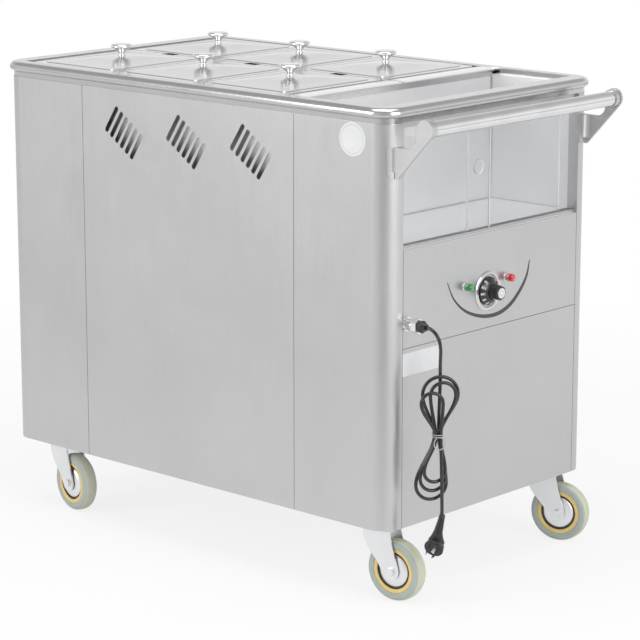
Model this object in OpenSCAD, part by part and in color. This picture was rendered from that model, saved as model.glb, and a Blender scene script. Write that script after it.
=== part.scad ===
// Hostess trolley: a stainless hot-food cart. Six lidded pans hang in a heated
// water tank, beside an open-top storage well with two sliding clear doors.
// +X points to the push handle, -Y to the vented side, +Z up, floor at z = 0.

/* [Body] */
// Height of the side and end panels
panel_h = 809; // [650:1:980]
// Radius of the four vertical corners
corner_r = 45; // [36:1:60]
// Thickness of the panel sheet
sheet = 1.5; // [1:0.1:2.5]
// Distance of a side seam from the end of the body
side_seam = 245; // [150:1:300]
// Flat strip between a corner's round and the seam beside it
end_flat = 3; // [1:1:25]
// Width of a seam between two panels
seam_gap = 1; // [0.4:0.1:2]
// Length of the storage well, from its back wall to the end face
storage_len = 237; // [180:1:320]

/* [Rim and deck] */
// How far the rim stands out past the panels
rim_over = 8; // [4:1:14]
// Width of the rim along the sides
rim_side = 34; // [30:1:50]
// Width of the rim across the ends
rim_end = 47; // [40:1:70]
// Height of the rim above the panels
rim_h = 31.5; // [28:0.5:44]
// Depth of the deck below the rim's top
deck_drop = 4; // [3:0.5:8]
// Plain strip of deck between the rim and the first lids
deck_strip = 20; // [8:1:60]
// Width of the bright bars between the lids and the storage well
divider_w = 54; // [40:1:80]

/* [Pans and lids] */
// Length of a lid along the trolley
lid_l = 247; // [180:1:320]
// Width of a lid across the trolley
lid_w = 295; // [220:1:380]
// Gap between neighbouring lids
lid_gap = 3; // [2:0.5:8]
// Depth of a pan
pan_depth = 100; // [50:5:150]
// Width of a pan's flange, from its edge to its wall
pan_flange = 12; // [9:1:20]
// Thickness of the pan and lid sheet
pan_sheet = 1.2; // [0.8:0.1:1.5]
// Height of a lid's crown above its border
lid_crown = 12.5; // [6:0.5:30]
// Width of a lid's flat border
lid_border = 19; // [12:1:30]
// Height of a lid's knob
knob_h = 25; // [18:1:40]
// Diameter of a lid's knob
knob_d = 47; // [36:1:60]

/* [Handle] */
// Distance of the bar's centre from the end face
bar_out = 72; // [50:1:110]
// Height of the bar's centre above the panels' underside
bar_up = 805; // [600:1:900]
// Diameter of the bar
bar_d = 31; // [22:1:34]
// Distance of a bracket's outer face from the side of the body
bracket_in = 22; // [20:1:60]
// Thickness of a bracket's plate
bracket_t = 5; // [3:0.5:8]

/* [Controls] */
// Height of the control panel's lower edge above the body's underside
control_low = 365; // [250:1:380]
// Height of the window sill above the body's underside
sill_up = 561; // [540:1:620]
// Diameter of the dial's bezel
bezel_d = 82; // [60:1:100]
// Diameter of a lamp's lens
lamp_d = 14; // [10:1:18]

/* [Doors] */
// Thickness of a clear door
door_t = 4; // [3:0.5:6]
// Width of the left-hand door
door_left_w = 276; // [265:1:290]
// Width of the right-hand door
door_right_w = 301; // [285:1:320]
// Running gap round a door in its groove
door_gap = 0.3; // [0.2:0.1:0.6]
// Diameter of the finger holes
finger_d = 30; // [20:1:40]

/* [Casters] */
// Diameter of a wheel
wheel_d = 127; // [90:1:160]
// Height of the body's underside above the tops of the wheels
caster_head = 29; // [25:1:50]
// Width of a tyre
tyre_w = 32; // [24:1:38]
// Trail from the swivel to the axle
trail = 38; // [30:1:45]
// Distance of the handle-end swivels from the end face
swivel_in_handle = 62; // [60:1:110]
// Distance of the plain-end swivels from their end face
swivel_in_plain = 105; // [75:1:140]
// Distance of the swivels from the side faces
swivel_in_side = 60; // [55:1:90]

/* [Cord] */
// Diameter of the mains cord
cord_d = 7; // [5:0.5:9]

/* [Hidden] */
$fn = 48;
hull_fn = 32;

// Small clearances
seat = 0.3;        // a loose piece above its seat
run = 0.05;        // radial running fit of a shaft
slack = 1;         // a piece passing through an opening
over = 1;          // how far a cutter passes the face it cuts

// The lid grid: columns run along X, rows across Y
cols = 3;
pitch_x = lid_l + lid_gap;
pitch_y = lid_w + lid_gap;
open_half = pitch_y + lid_gap / 3;              // rim's inner edge, from the centre line

// The body
floor_gap = wheel_d + caster_head;
body_w = 2 * (open_half + rim_side - rim_over);
body_l = rim_end - rim_over + deck_strip + cols * pitch_x + divider_w + storage_len;
end_x = body_l / 2;
side_y = body_w / 2;
inner_x = end_x - sheet;
inner_y = side_y - sheet;
seam_x = end_x - side_seam;
seam_y = side_y - corner_r - end_flat;
panel_top = floor_gap + panel_h;
grid_x = -end_x - rim_over + rim_end + deck_strip;   // left edge of the first lid
back_x = end_x - storage_len;                        // storage well's back wall
frame_x = -(bar_out + bar_d / 2 + 4.5 - rim_over) / 2; // the box is symmetric about x = 0

// Heights
rim_z = panel_top + 2;
rim_top = panel_top + rim_h;
deck_z = rim_top - deck_drop;                   // deck's upper face
pan_z = deck_z + seat;                          // underside of a pan's flange
lid_z = pan_z + pan_sheet + seat;               // underside of a lid's border
sill_z = floor_gap + sill_up;
control_z = floor_gap + control_low;
floor_z = sill_z + sheet;                       // storage floor's upper face
lip = 12;                                       // downturned edges round the well
rim_t = 1.5;
skirt_h = 16;
skirt_gap = 0.1;   // between the rim's skirt and the panels

// Pans, tank and storage well
pan_l = lid_l - 2 * pan_flange;
pan_w = lid_w - 2 * pan_flange;
pan_r = 25;
lid_r = 10;
tank_margin = 6;
tank_l = cols * pitch_x - 2 * pan_flange + 2 * tank_margin;
tank_w = 2 * pitch_y - 2 * pan_flange + 2 * tank_margin;
tank_x = grid_x + (cols * pitch_x - lid_gap) / 2;
tank_h = pan_depth + 91;
tank_z = deck_z - sheet - tank_h;
well_half = seam_y + 9;                         // inner half width of the storage well
tray_lip = 25;
rail_w = 60;
rail_h = 25;

// Vents: three groups of slanted slots
vent_groups = 3;
vent_slots = 6;
vent_margin = 61;
vent_shift = 5;                                 // the groups sit this far towards the handle
vent_pitch = (2 * seam_x - vent_margin) / vent_groups;
vent_step = [14.7, -10.1];
vent_run = [-30.3, -46.3];
vent_w = 10.5;
vent_down = 40;                                 // first slot's upper end, below the panel's top

// Doors and tracks
track_t = 3.4;
door_y = seam_y - 4;
groove = door_t + 2 * door_gap;
track_w = 3 * track_t + 2 * groove;
track_x = inner_x - track_w - 6.5;
front_door_x = track_x + 2 * track_t + groove + door_gap;
rear_door_x = track_x + track_t + door_gap;
track_h = 4.5;
track_floor = 1.2;
track_top_h = 11;
track_top_z = panel_top + 1 - track_top_h;
door_low = floor_z + track_floor + door_gap;
door_high = track_top_z + track_top_h - 4;
door_right_shift = -32;                         // how far the right-hand door stands open
finger_in = 36.5;
finger_z = sill_z + 132;
jamb = 24;

// Handle brackets
bracket_span = 2 * (side_y - bracket_in);
collar_w = 13;
foot_low = bar_up - 100;
foot_high = bar_up - 41;
foot_w = 26;
foot_t = 3;
foot_round = 12;
foot_roll = 12;
wrap_start = 18;     // where the outer flange starts and ends round the cabinet's corner
wrap_end = 46;

// Heating elements
element_r = 5;
element_half = 45;
element_ys = [-pitch_y / 2 - 1, pitch_y / 2 + 1];
element_up = 14;
element_len = tank_l - 178;

// Controls
dial_y = -14.5;
dial_z = control_z + 75;
lamp_ys = [-86.5, 45];
lamp_z = control_z + 94.5;
shaft_r = 3;
dial_skirt_d = 60;
dial_grip_d = 33;
dial_out = 36;
thermo_w = 46;
thermo_d = 40;

// Cable gland
gland_y = 12 - seam_y;
gland_z = control_z + 49;
gland_r = 12;
gland_base_out = 20;
gland_hex_out = 33;
gland_out = 50;
cord_r = cord_d / 2;
grip = 0.25;        // between the cord and the gland's bore
cord_in = 20;       // how far the cord's first face lies inside the gland

// The cord from the gland to the hank, from the gland's mouth
gland_start = [end_x + gland_out - cord_in, gland_y, gland_z];
gland_end = [end_x + gland_out, gland_y, gland_z];
upper_route = [
  [6, 0, -0.3], [12, 0, -1.8], [18.3, 0.2, -5], [24, 1, -10.2], [28, 2.4, -17], [30, 4.4, -25.5],
  [29.8, 7, -35.5], [28, 10, -45.5], [25.3, 13, -55.5], [22.4, 16, -66], [20, 18.6, -77]
];

// The hank: strands folded up and down through a tied waist
hank_at = gland_end + [24, 7, -212];
hank_turn = 40;
hank_pitch = 8.6;
hank_waist = 4.8;
top_folds = [[116, 35, 6], [106, 25, 10], [88, 21.5, -13]];    // height, radius, lean
low_folds = [[132, 31, -10], [112, 26, -8], [92, 21.5, -6]];
fold_leg = 9;
fold_arc = 10;
hank_sides = 6;

// Casters
caster_count = 4;
swivels = [
  [end_x - swivel_in_handle, -side_y + swivel_in_side, 6],
  [end_x - swivel_in_handle, side_y - swivel_in_side, 17.5],
  [-end_x + swivel_in_plain, -side_y + swivel_in_side, -9],
  [-end_x + swivel_in_plain, side_y - swivel_in_side, 8]
];
plate_l = 104;
plate_w = 84;
plate_t = 3;
race_r = 25;
race_h = 6;
pin_r = 8;
axle_r = 5;
crown_t = 4;
leg_t = 3;
leg_gap = 3;
leg_end_r = 19;
tyre_depth = 17;
hub_r = wheel_d / 2 - tyre_depth;
axle_z = wheel_d / 2;
plate_z = floor_gap - plate_t;
race_z = plate_z - race_h;
crown_top = race_z - 0.4;

steel = [0.78, 0.78, 0.79];
bright = [0.86, 0.86, 0.87];
dark = [0.12, 0.12, 0.13];
zinc = [0.80, 0.81, 0.82];

// ---------------------------------------------------------------- helpers

module placed() {
  translate([frame_x, 0, 0]) children();
}

// Rounded rectangle from true arcs
module rrect(l, w, r) {
  square([l - 2 * r, w], center = true);
  square([l, w - 2 * r], center = true);
  for (sx = [-1, 1], sy = [-1, 1])
    translate([sx * (l / 2 - r), sy * (w / 2 - r)]) circle(r);
}

module rplate(l, w, h, r) {
  linear_extrude(h) rrect(l, w, r);
}

// Box given by its lowest and highest corners
module span(low, high) {
  translate(low) cube(high - low);
}

// Disc or ring along +X, from x = 0
module xdisc(r, h) {
  rotate([0, 90, 0]) cylinder(r = r, h = h);
}

// Slot with round ends between two points
module slot2d(a, b, w) {
  len_ab = norm(b - a);
  turn = atan2(b[1] - a[1], b[0] - a[0]);
  translate(a) rotate(turn) {
    circle(d = w);
    translate([len_ab, 0]) circle(d = w);
    translate([0, -w / 2]) square([len_ab, w]);
  }
}

function smooth(t) = t * t * (3 - 2 * t);
function unit(v) = v / norm(v);
function arc_pts(c, r, a0, a1, n) =
  [for (i = [0:n]) c + r * [cos(a0 + (a1 - a0) * i / n), sin(a0 + (a1 - a0) * i / n)]];

// ---------------------------------------------------------------- body sheets

module body_ring() {
  difference() {
    rrect(body_l, body_w, corner_r);
    rrect(body_l - 2 * sheet, body_w - 2 * sheet, corner_r - sheet);
  }
}

// Two mirrored corner wraps; sx is +1 at the handle end and -1 at the plain end
module corner_pair(sx) {
  for (sy = [-1, 1])
    translate([0, 0, floor_gap]) linear_extrude(panel_h)
      intersection() {
        body_ring();
        translate([sx * (seam_x + seam_gap / 2 + end_x / 2), sy * (seam_y + seam_gap / 2 + side_y / 2)])
          square([end_x, side_y], center = true);
      }
}

module corner_panels_handle_end() {
  color(steel) placed() {
    corner_pair(1);
    for (sy = [-1, 1])
      translate([inner_x - jamb, sy * (seam_y + seam_gap / 2 + sheet / 2) - sheet / 2, sill_z + sheet])
        cube([jamb + sheet / 2, sheet, panel_top - sill_z - sheet]);
  }
}

module corner_panels_plain_end() {
  color(steel) placed() corner_pair(-1);
}

module vent_slots_2d() {
  for (g = [0:vent_groups - 1], i = [0:vent_slots - 1]) {
    group_x = (g - (vent_groups - 1) / 2) * vent_pitch + vent_shift;
    top = [group_x - 2.5 * vent_step[0] - vent_run[0] / 2, panel_h - vent_down] + i * vent_step;
    slot2d(top, top + vent_run, vent_w);
  }
}

module side_panel() {
  w = 2 * seam_x - seam_gap;
  translate([0, -side_y + sheet, floor_gap]) rotate([90, 0, 0]) linear_extrude(sheet)
    difference() {
      translate([-w / 2, 0]) square([w, panel_h]);
      vent_slots_2d();
    }
}

module front_vent_panel() {
  color(steel) placed() side_panel();
}

module back_vent_panel() {
  color(steel) placed() rotate([0, 0, 180]) side_panel();
}

module plain_end_panel() {
  half = seam_y - seam_gap / 2;
  color(steel) placed() span([-end_x, -half, floor_gap], [-inner_x, half, panel_top]);
}

module lower_end_panel() {
  half = seam_y - seam_gap / 2;
  color(steel) placed()
    span([inner_x, -half, floor_gap], [end_x, half, control_z - seam_gap]);
}

module control_panel() {
  half = seam_y - seam_gap / 2;
  color(steel) placed() difference() {
    union() {
      span([inner_x, -half, control_z], [end_x, half, sill_z]);
      span([inner_x - 30, -half, sill_z - sheet], [end_x, half, sill_z]);
    }
    translate([inner_x - over, dial_y, dial_z]) xdisc(shaft_r + slack, sheet + 2 * over);
    for (y = lamp_ys)
      translate([inner_x - over, y, lamp_z]) xdisc(lamp_d / 2 - 2, sheet + 2 * over);
    translate([inner_x - over, gland_y, gland_z]) xdisc(gland_r - 3, sheet + 2 * over);
  }
}

module base_tray() {
  color(zinc) placed() translate([0, 0, floor_gap]) difference() {
    rplate(2 * inner_x, 2 * inner_y, tray_lip, corner_r - sheet);
    translate([0, 0, 2])
      rplate(2 * inner_x - 2 * sheet, 2 * inner_y - 2 * sheet, tray_lip, corner_r - 2 * sheet);
    for (s = swivels)
      translate([s[0], s[1], -over]) cylinder(r = pin_r + 2, h = 2 + 2 * over);
  }
}

// Two folded channels that spread the casters' load over the tray
module caster_rails() {
  color(zinc) placed() for (x = [swivels[0][0], swivels[2][0]])
    translate([x, 0, floor_gap + 2]) difference() {
      translate([-rail_w / 2, -inner_y + 40, 0]) cube([rail_w, 2 * inner_y - 80, rail_h]);
      translate([-rail_w / 2 + 2, -inner_y, 2]) cube([rail_w - 4, 2 * inner_y, rail_h]);
      for (sy = [-1, 1])
        translate([0, sy * (side_y - swivel_in_side), -over]) cylinder(r = pin_r + 2, h = 2 + 2 * over);
    }
}

// ---------------------------------------------------------------- rim and deck

// Rim section: x is the distance out from the panels' face, y the height above rim_z
function rim_outer() = concat(
  [[-sheet - skirt_gap, 0], [0, 0], [0, 9], [-1, 9.5], [-1, 10.5], [1, 10.6]],
  arc_pts([rim_over - 7, rim_h - 14], 7, -66, -6, 4),
  arc_pts([rim_over - 12, rim_h - 14], 12, 0, 90, 8),
  [[rim_over - rim_side, rim_h - 2]]
);
function rim_inner() = [
  [rim_over - rim_side, rim_h - 2 - rim_t], [rim_over - 12, rim_h - 2 - rim_t],
  [rim_over - 4.5, rim_h - 7], [rim_over - 1.6, rim_h - 13.5], [2, 14], [-2.5, 12.2], [-3, 8],
  [-3, -skirt_h], [-sheet - skirt_gap, -skirt_h]
];

module rim_section() {
  polygon(concat(rim_outer(), rim_inner()));
}

module rim_sweep() {
  straight_x = body_l - 2 * corner_r;
  straight_y = body_w - 2 * corner_r;
  for (i = [0:3]) {
    sx = (i == 0 || i == 3) ? 1 : -1;
    sy = (i < 2) ? 1 : -1;
    translate([sx * straight_x / 2, sy * straight_y / 2, 0]) rotate([0, 0, 90 * i])
      rotate_extrude(angle = 90) translate([corner_r, 0]) rim_section();
  }
  for (s = [0, 180]) rotate([0, 0, s]) {
    translate([end_x, straight_y / 2, 0]) rotate([90, 0, 0])
      linear_extrude(straight_y) rim_section();
    translate([-straight_x / 2, side_y, 0]) rotate([0, 0, 90]) rotate([90, 0, 0])
      linear_extrude(straight_x) rim_section();
  }
}

module top_rim() {
  hole_l = body_l + 2 * rim_over - 2 * rim_end;
  top_under = rim_h - 2 - rim_t;
  color(bright) placed() difference() {
    translate([0, 0, rim_z]) {
      rim_sweep();
      // flat top between the rolled edge and the opening
      translate([0, 0, top_under]) difference() {
        rplate(body_l + 2 * rim_over - 2 * rim_side + 2, body_w + 2 * rim_over - 2 * rim_side + 2,
               rim_t, corner_r + rim_over - rim_side);
        translate([0, 0, -over]) rplate(hole_l, 2 * open_half, rim_t + 2 * over, 6);
      }
      // downturned lip round the opening
      translate([0, 0, top_under - lip + rim_t]) difference() {
        rplate(hole_l + 2 * rim_t, 2 * open_half + 2 * rim_t, lip, 6 + rim_t);
        translate([0, 0, -over]) rplate(hole_l, 2 * open_half, lip + 2 * over, 6);
      }
    }
    // the lip stops on the deck where the deck passes under it
    span([-end_x + 5, -side_y + 5, rim_z], [back_x, side_y - 5, deck_z]);
    // the skirt is cut away over the window
    span([inner_x - 8, -seam_y - 2, rim_z - skirt_h - over], [inner_x + 0.5, seam_y + 2, rim_z]);
  }
}

module deck_sheet() {
  deck_l = back_x + end_x + rim_over - rim_end + 8;
  hole_x = pan_l + 2 * slack;
  hole_y = pan_w + 2 * slack;
  color(bright) placed() difference() {
    union() {
      span([back_x - deck_l, -open_half - 6, deck_z - sheet], [back_x, open_half + 6, deck_z]);
      span([back_x - sheet, -well_half, deck_z - lip], [back_x, well_half, deck_z]);
    }
    for (n = [1:6])
      translate([lid_at(n)[0], lid_at(n)[1], deck_z - sheet - over])
        rplate(hole_x, hole_y, sheet + 2 * over, pan_r + slack);
  }
}

module divider_bars() {
  bar_h = 3;
  color(bright) placed() for (sy = [-1, 1]) {
    near_end = lid_gap / 2;
    far_end = open_half - lid_gap / 2;
    mid = sy * (near_end + far_end) / 2;
    translate([back_x - divider_w / 2, mid + (far_end - near_end) / 2, deck_z])
      rotate([90, 0, 0]) linear_extrude(far_end - near_end) polygon(concat(
        [[-divider_w / 2 + 1, 0]],
        arc_pts([0, bar_h - 150], 150.8, 99.5, 80.5, 8),
        [[divider_w / 2, 0]]));
  }
}

module storage_liner() {
  wall_top = deck_z - lip + rim_t;
  front_x = inner_x - 3.5;
  side_top = rim_z + rim_h - 2 - lip;
  color(bright) placed() {
    span([back_x - 2 * sheet, -well_half - sheet, sill_z], [front_x, well_half + sheet, floor_z]);
    span([back_x - 2 * sheet, -well_half - sheet, sill_z], [back_x - sheet, well_half + sheet, wall_top]);
    for (sy = [-1, 1]) {
      y0 = sy > 0 ? well_half : -well_half - sheet;
      span([back_x - 2 * sheet, y0, sill_z], [front_x, y0 + sheet, side_top]);
      flange0 = sy > 0 ? well_half : -open_half - rim_t;
      flange_w = open_half + rim_t - well_half;
      span([back_x, flange0, side_top - sheet],
           [end_x + rim_over - rim_end, flange0 + flange_w, side_top]);
    }
  }
}

// ---------------------------------------------------------------- doors

module track(h, low) {
  difference() {
    translate([track_x, -seam_y - 0.5, low]) cube([track_w, 2 * seam_y + 1, h]);
    children();
  }
}

module door_track_bottom() {
  color(bright) placed() track(track_h, floor_z)
    for (x = [rear_door_x, front_door_x])
      translate([x - door_gap, -seam_y - over, floor_z + track_floor])
        cube([groove, 2 * seam_y + 2 * over, track_h]);
}

module door_track_top() {
  color(bright) placed() track(track_top_h, track_top_z)
    for (x = [rear_door_x, front_door_x])
      translate([x - door_gap, -seam_y - over, track_top_z - over])
        cube([groove, 2 * seam_y + 2 * over, track_top_h - track_floor + over]);
}

module door(x, y_low, w, hole_y) {
  translate([x, 0, 0]) difference() {
    translate([0, y_low, door_low]) cube([door_t, w, door_high - door_low]);
    translate([-over, hole_y, finger_z]) xdisc(finger_d / 2, door_t + 2 * over);
  }
}

module door_left() {
  color([0.85, 0.9, 0.92, 0.35]) placed()
    door(front_door_x, -door_y, door_left_w, -door_y + door_left_w - finger_in);
}

module door_right() {
  y_low = door_y + door_right_shift - door_right_w;
  color([0.85, 0.9, 0.92, 0.35]) placed()
    door(rear_door_x, y_low, door_right_w, y_low + finger_in);
}

// ---------------------------------------------------------------- pans, lids, tank

// Lids 1 to 3 are the vented side's row, 4 to 6 the row behind, from the plain end
function lid_at(n) = [
  grid_x + lid_l / 2 + ((n - 1) % cols) * pitch_x,
  (n <= cols ? -1 : 1) * pitch_y / 2
];

module pan(n) {
  at = lid_at(n);
  color(bright) placed() translate([at[0], at[1], pan_z]) difference() {
    union() {
      rplate(lid_l, lid_w, pan_sheet, lid_r);
      translate([0, 0, pan_sheet - pan_depth]) rplate(pan_l, pan_w, pan_depth, pan_r);
    }
    translate([0, 0, 2 * pan_sheet - pan_depth])
      rplate(pan_l - 2 * pan_sheet, pan_w - 2 * pan_sheet, pan_depth, pan_r - pan_sheet);
  }
}

module lid_crown_solid(inset, drop) {
  base_l = lid_l - 2 * lid_border - 2 * inset;
  base_w = lid_w - 2 * lid_border - 2 * inset;
  hull() {
    linear_extrude(2.5 - drop) offset(r = 6, $fn = hull_fn)
      square([base_l - 12, base_w - 12], center = true);
    translate([0, 0, lid_crown - 3 - drop]) linear_extrude(0.5) offset(r = 24, $fn = hull_fn)
      square([base_l * 0.22, base_w * 0.26], center = true);
    translate([0, 0, lid_crown - drop]) linear_extrude(0.4) circle(knob_d / 3, $fn = hull_fn);
  }
}

module lid(n) {
  at = lid_at(n);
  notch = [35, 9];
  color(bright) placed() translate([at[0], at[1], lid_z]) {
    difference() {
      union() {
        rplate(lid_l, lid_w, pan_sheet, lid_r);
        lid_crown_solid(0, 0);
      }
      translate([0, 0, -0.2]) lid_crown_solid(pan_sheet, pan_sheet);
      // ladle notch in the border that faces the other row
      translate([0, (n <= cols ? 1 : -1) * lid_w / 2, -over])
        linear_extrude(pan_sheet + 2 * over) square([notch[0], 2 * notch[1]], center = true);
    }
    translate([0, 0, lid_crown + 0.4 + run]) lid_knob();
  }
}

module lid_knob() {
  rotate_extrude() polygon([
    [0, 0], [9.5, 0], [8.4, 1.4], [6.6, 3], [6, 4.6], [6.8, 6.4], [9.5, 8.8], [13.5, 12],
    [knob_d / 2 - 2.6, knob_h - 8.4], [knob_d / 2 - 0.6, knob_h - 6.8], [knob_d / 2, knob_h - 5.2],
    [knob_d / 2 - 0.3, knob_h - 3.6], [knob_d / 2 - 1.6, knob_h - 2], [knob_d / 2 - 4, knob_h - 0.9],
    [knob_d / 4, knob_h - 0.2], [0, knob_h]
  ]);
}

module water_tank() {
  flange = 14;
  color(steel) placed() translate([tank_x, 0, tank_z]) difference() {
    union() {
      translate([-tank_l / 2 - sheet, -tank_w / 2 - sheet, 0])
        cube([tank_l + 2 * sheet, tank_w + 2 * sheet, tank_h]);
      translate([-tank_l / 2 - flange, -tank_w / 2 - flange, tank_h - sheet])
        cube([tank_l + 2 * flange, tank_w + 2 * flange, sheet]);
    }
    translate([-tank_l / 2, -tank_w / 2, sheet]) cube([tank_l, tank_w, tank_h]);
    for (y = element_ys, s = [-1, 1])
      translate([tank_l / 2 - over, y + s * element_half, element_up])
        xdisc(element_r + seat, sheet + 2 * over);
  }
}

// Hairpin heaters low in the tank, with their terminals outside its end wall
module heating_elements() {
  wall_x = tank_x + tank_l / 2 + sheet;
  color([0.5, 0.48, 0.46]) placed() for (y = element_ys)
    translate([wall_x, y, tank_z + element_up]) {
      for (s = [-1, 1])
        translate([-element_len, s * element_half, 0]) xdisc(element_r, element_len + 16);
      translate([-element_len, 0, 0]) rotate([0, 0, 90])
        rotate_extrude(angle = 180) translate([element_half, 0]) circle(element_r);
      translate([0, -element_half - 12, -12]) cube([4, 2 * element_half + 24, 24]);
    }
}

// ---------------------------------------------------------------- handle

module handle_bar() {
  half = bracket_span / 2 - bracket_t;
  color(bright) placed() translate([end_x + bar_out, -half, floor_gap + bar_up]) rotate([-90, 0, 0])
    difference() {
      cylinder(d = bar_d, h = 2 * half);
      translate([0, 0, 2]) cylinder(d = bar_d - 3, h = 2 * half - 4);
    }
}

// Bracket plate: a foot on the end face, rising to a round end about the bar
module bracket_outline() {
  tip = [bar_out, bar_up];
  end_r = bar_d / 2 + 4.5;
  translate(tip) circle(end_r);
  polygon(concat(
    [[0, foot_low], [3, foot_low - 1.5], [7, foot_low]],
    [tip + end_r * [cos(-46), sin(-46)], tip + end_r * [cos(152), sin(152)]],
    arc_pts([31, foot_high + 21], 20, -15, -90, 6),
    [[0, foot_high + 1]]));
}

// Outline of a bracket's foot: x across the foot, y up, with a round lower edge
module foot_outline(w) {
  r = foot_round;
  translate([0, foot_low + r]) square([w, foot_high - foot_low - r]);
  translate([r, foot_low + r]) circle(r);
  translate([w - r, foot_low + r]) circle(r);
  translate([r, foot_low]) square([w - 2 * r, r]);
}

// The flange's face, looking at the cabinet's corner: its outer lower corner is round
module wrap_outline() {
  r = 14;
  left = -(corner_r + foot_t) * sin((wrap_end - wrap_start) / 2) - 0.3;
  polygon(concat(
    [[left + 40, foot_low], [left + 40, foot_high + 5], [left, foot_high + 5]],
    arc_pts([left + r, foot_low + r], r, 180, 270, 9)));
}

// Plan of the hollow roll that joins the plate's outer face to the flange
module wrap_fillet() {
  f = 10;
  r = corner_r + run + foot_t;
  low = bracket_in - corner_r - f;
  far = sqrt((r + f) * (r + f) - low * low);
  in_y = bracket_in - corner_r + 3;
  in_x = sqrt((r - 1.5) * (r - 1.5) - in_y * in_y);
  polygon(concat(
    [[in_x, in_y], [far, in_y]],
    arc_pts([far, low], f, 90, 180 - atan(-low / far), 6),
    [(r - 1) / (r + f) * [far, low]]));
}

// The bracket on the vented side; the other one is its mirror image
module bracket() {
  half = bracket_span / 2;
  corner = [end_x - corner_r, -side_y + corner_r, floor_gap];
  translate([end_x, -half + bracket_t, floor_gap]) rotate([90, 0, 0])
    linear_extrude(bracket_t) bracket_outline();
  // collar that grips the bar
  translate([end_x + bar_out, -half + bracket_t, floor_gap + bar_up]) rotate([-90, 0, 0])
    difference() {
      cylinder(r = bar_d / 2 + 2.5, h = collar_w);
      translate([0, 0, -over]) cylinder(r = bar_d / 2 + run, h = collar_w + 2 * over);
    }
  // foot turned inwards, flat on the end face
  translate([end_x, -half, floor_gap]) rotate([90, 0, 90]) linear_extrude(foot_t) foot_outline(foot_w);
  // rolled inner corner between the plate and its foot
  translate([end_x + foot_t, -half + bracket_t, floor_gap + foot_low + foot_round])
    linear_extrude(foot_high - foot_low - foot_round) difference() {
      square(foot_roll);
      translate([foot_roll, foot_roll]) circle(foot_roll);
    }
  // flange that follows the cabinet's corner outwards
  translate(corner) intersection() {
    rotate([0, 0, -wrap_end]) rotate_extrude(angle = wrap_end - wrap_start)
      translate([corner_r + run, foot_low - 5]) square([foot_t, foot_high - foot_low + 5]);
    rotate([0, 0, -(wrap_start + wrap_end) / 2]) rotate([90, 0, 90])
      linear_extrude(2 * corner_r) wrap_outline();
  }
  translate(corner + [0, 0, foot_low + foot_round])
    linear_extrude(foot_high - foot_low - foot_round) wrap_fillet();
}

module handle_brackets() {
  color(bright) placed() {
    bracket();
    mirror([0, 1, 0]) bracket();
  }
}

// ---------------------------------------------------------------- controls

module dial_bezel() {
  color(bright) placed() translate([end_x, dial_y, dial_z]) rotate([0, 90, 0])
    rotate_extrude() polygon([
      [shaft_r + slack, 0], [bezel_d / 2, 0], [bezel_d / 2, 1.5], [bezel_d / 2 - 2, 3],
      [bezel_d / 2 - 7, 3.4], [dial_skirt_d / 2 + 2, 1.6], [shaft_r + slack, 1.6]
    ]);
}

// Knob on the thermostat's shaft; the knob and its shaft turn together
module dial_knob() {
  skirt_x = 2.6;
  flats = 12;
  color(dark) placed() translate([end_x, dial_y, dial_z]) rotate([0, 90, 0]) difference() {
    union() {
      rotate_extrude() polygon([
        [0, skirt_x], [dial_skirt_d / 2, skirt_x], [dial_skirt_d / 2, skirt_x + 2],
        [dial_skirt_d / 2 - 9, 12], [dial_grip_d / 2 - 1, 14], [dial_grip_d / 2 - 1.5, dial_out - 1],
        [dial_grip_d / 2 - 3, dial_out], [0, dial_out]
      ]);
      for (i = [0:flats - 1]) rotate([0, 0, i * 360 / flats])
        translate([dial_grip_d / 2 - 2, 0, 13]) cylinder(r = 2.2, h = dial_out - 15);
    }
    translate([0, 0, skirt_x - over]) cylinder(r = shaft_r, h = 18 + over);
  }
}

module dial_shaft() {
  color(zinc) placed() translate([inner_x - thermo_d / 2, dial_y, dial_z])
    xdisc(shaft_r, thermo_d / 2 + sheet + 2.6 + 18);
}

// Thermostat body behind the panel, with its sensing bulb on the tank's floor
module thermostat() {
  half = thermo_w / 2;
  color([0.85, 0.84, 0.8]) placed() {
    difference() {
      span([inner_x - thermo_d, dial_y - half, dial_z - half], [inner_x, dial_y + half, dial_z + half]);
      translate([inner_x - thermo_d / 2 - seat, dial_y, dial_z]) xdisc(shaft_r + run, thermo_d);
    }
  }
}

// Mains terminal block on the base tray, below the gland
module terminal_block() {
  poles = 5;
  pole_w = 12;
  color([0.9, 0.9, 0.86]) placed() translate([end_x - 120, gland_y + 40, floor_gap + 2]) difference() {
    cube([26, poles * pole_w, 20]);
    for (i = [0:poles - 1])
      translate([13, (i + 0.5) * pole_w, 10]) cylinder(r = 3, h = 20);
  }
}

module lamp(y, tint) {
  r = lamp_d / 2;
  color(tint) placed() translate([inner_x - 12, y, lamp_z]) rotate([0, 90, 0]) {
    cylinder(r = r - 2, h = 12 + sheet);
    translate([0, 0, 12 + sheet]) rotate_extrude() polygon(concat(
      [[0, 0], [r + 2, 0], [r + 2, 1.5], [r + 1, 3], [r, 3]],
      arc_pts([0, 20 - r * 0.8], r, 0, 90, 8)));
  }
}

module lamp_green() {
  lamp(lamp_ys[0], [0.1, 0.6, 0.25]);
}

module lamp_red() {
  lamp(lamp_ys[1], [0.85, 0.1, 0.12]);
}

// ---------------------------------------------------------------- gland, cord and plug

module gland_bore() {
  translate([0, 0, -40]) cylinder(r = cord_r + grip, h = 40 + gland_out + over);
}

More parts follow.
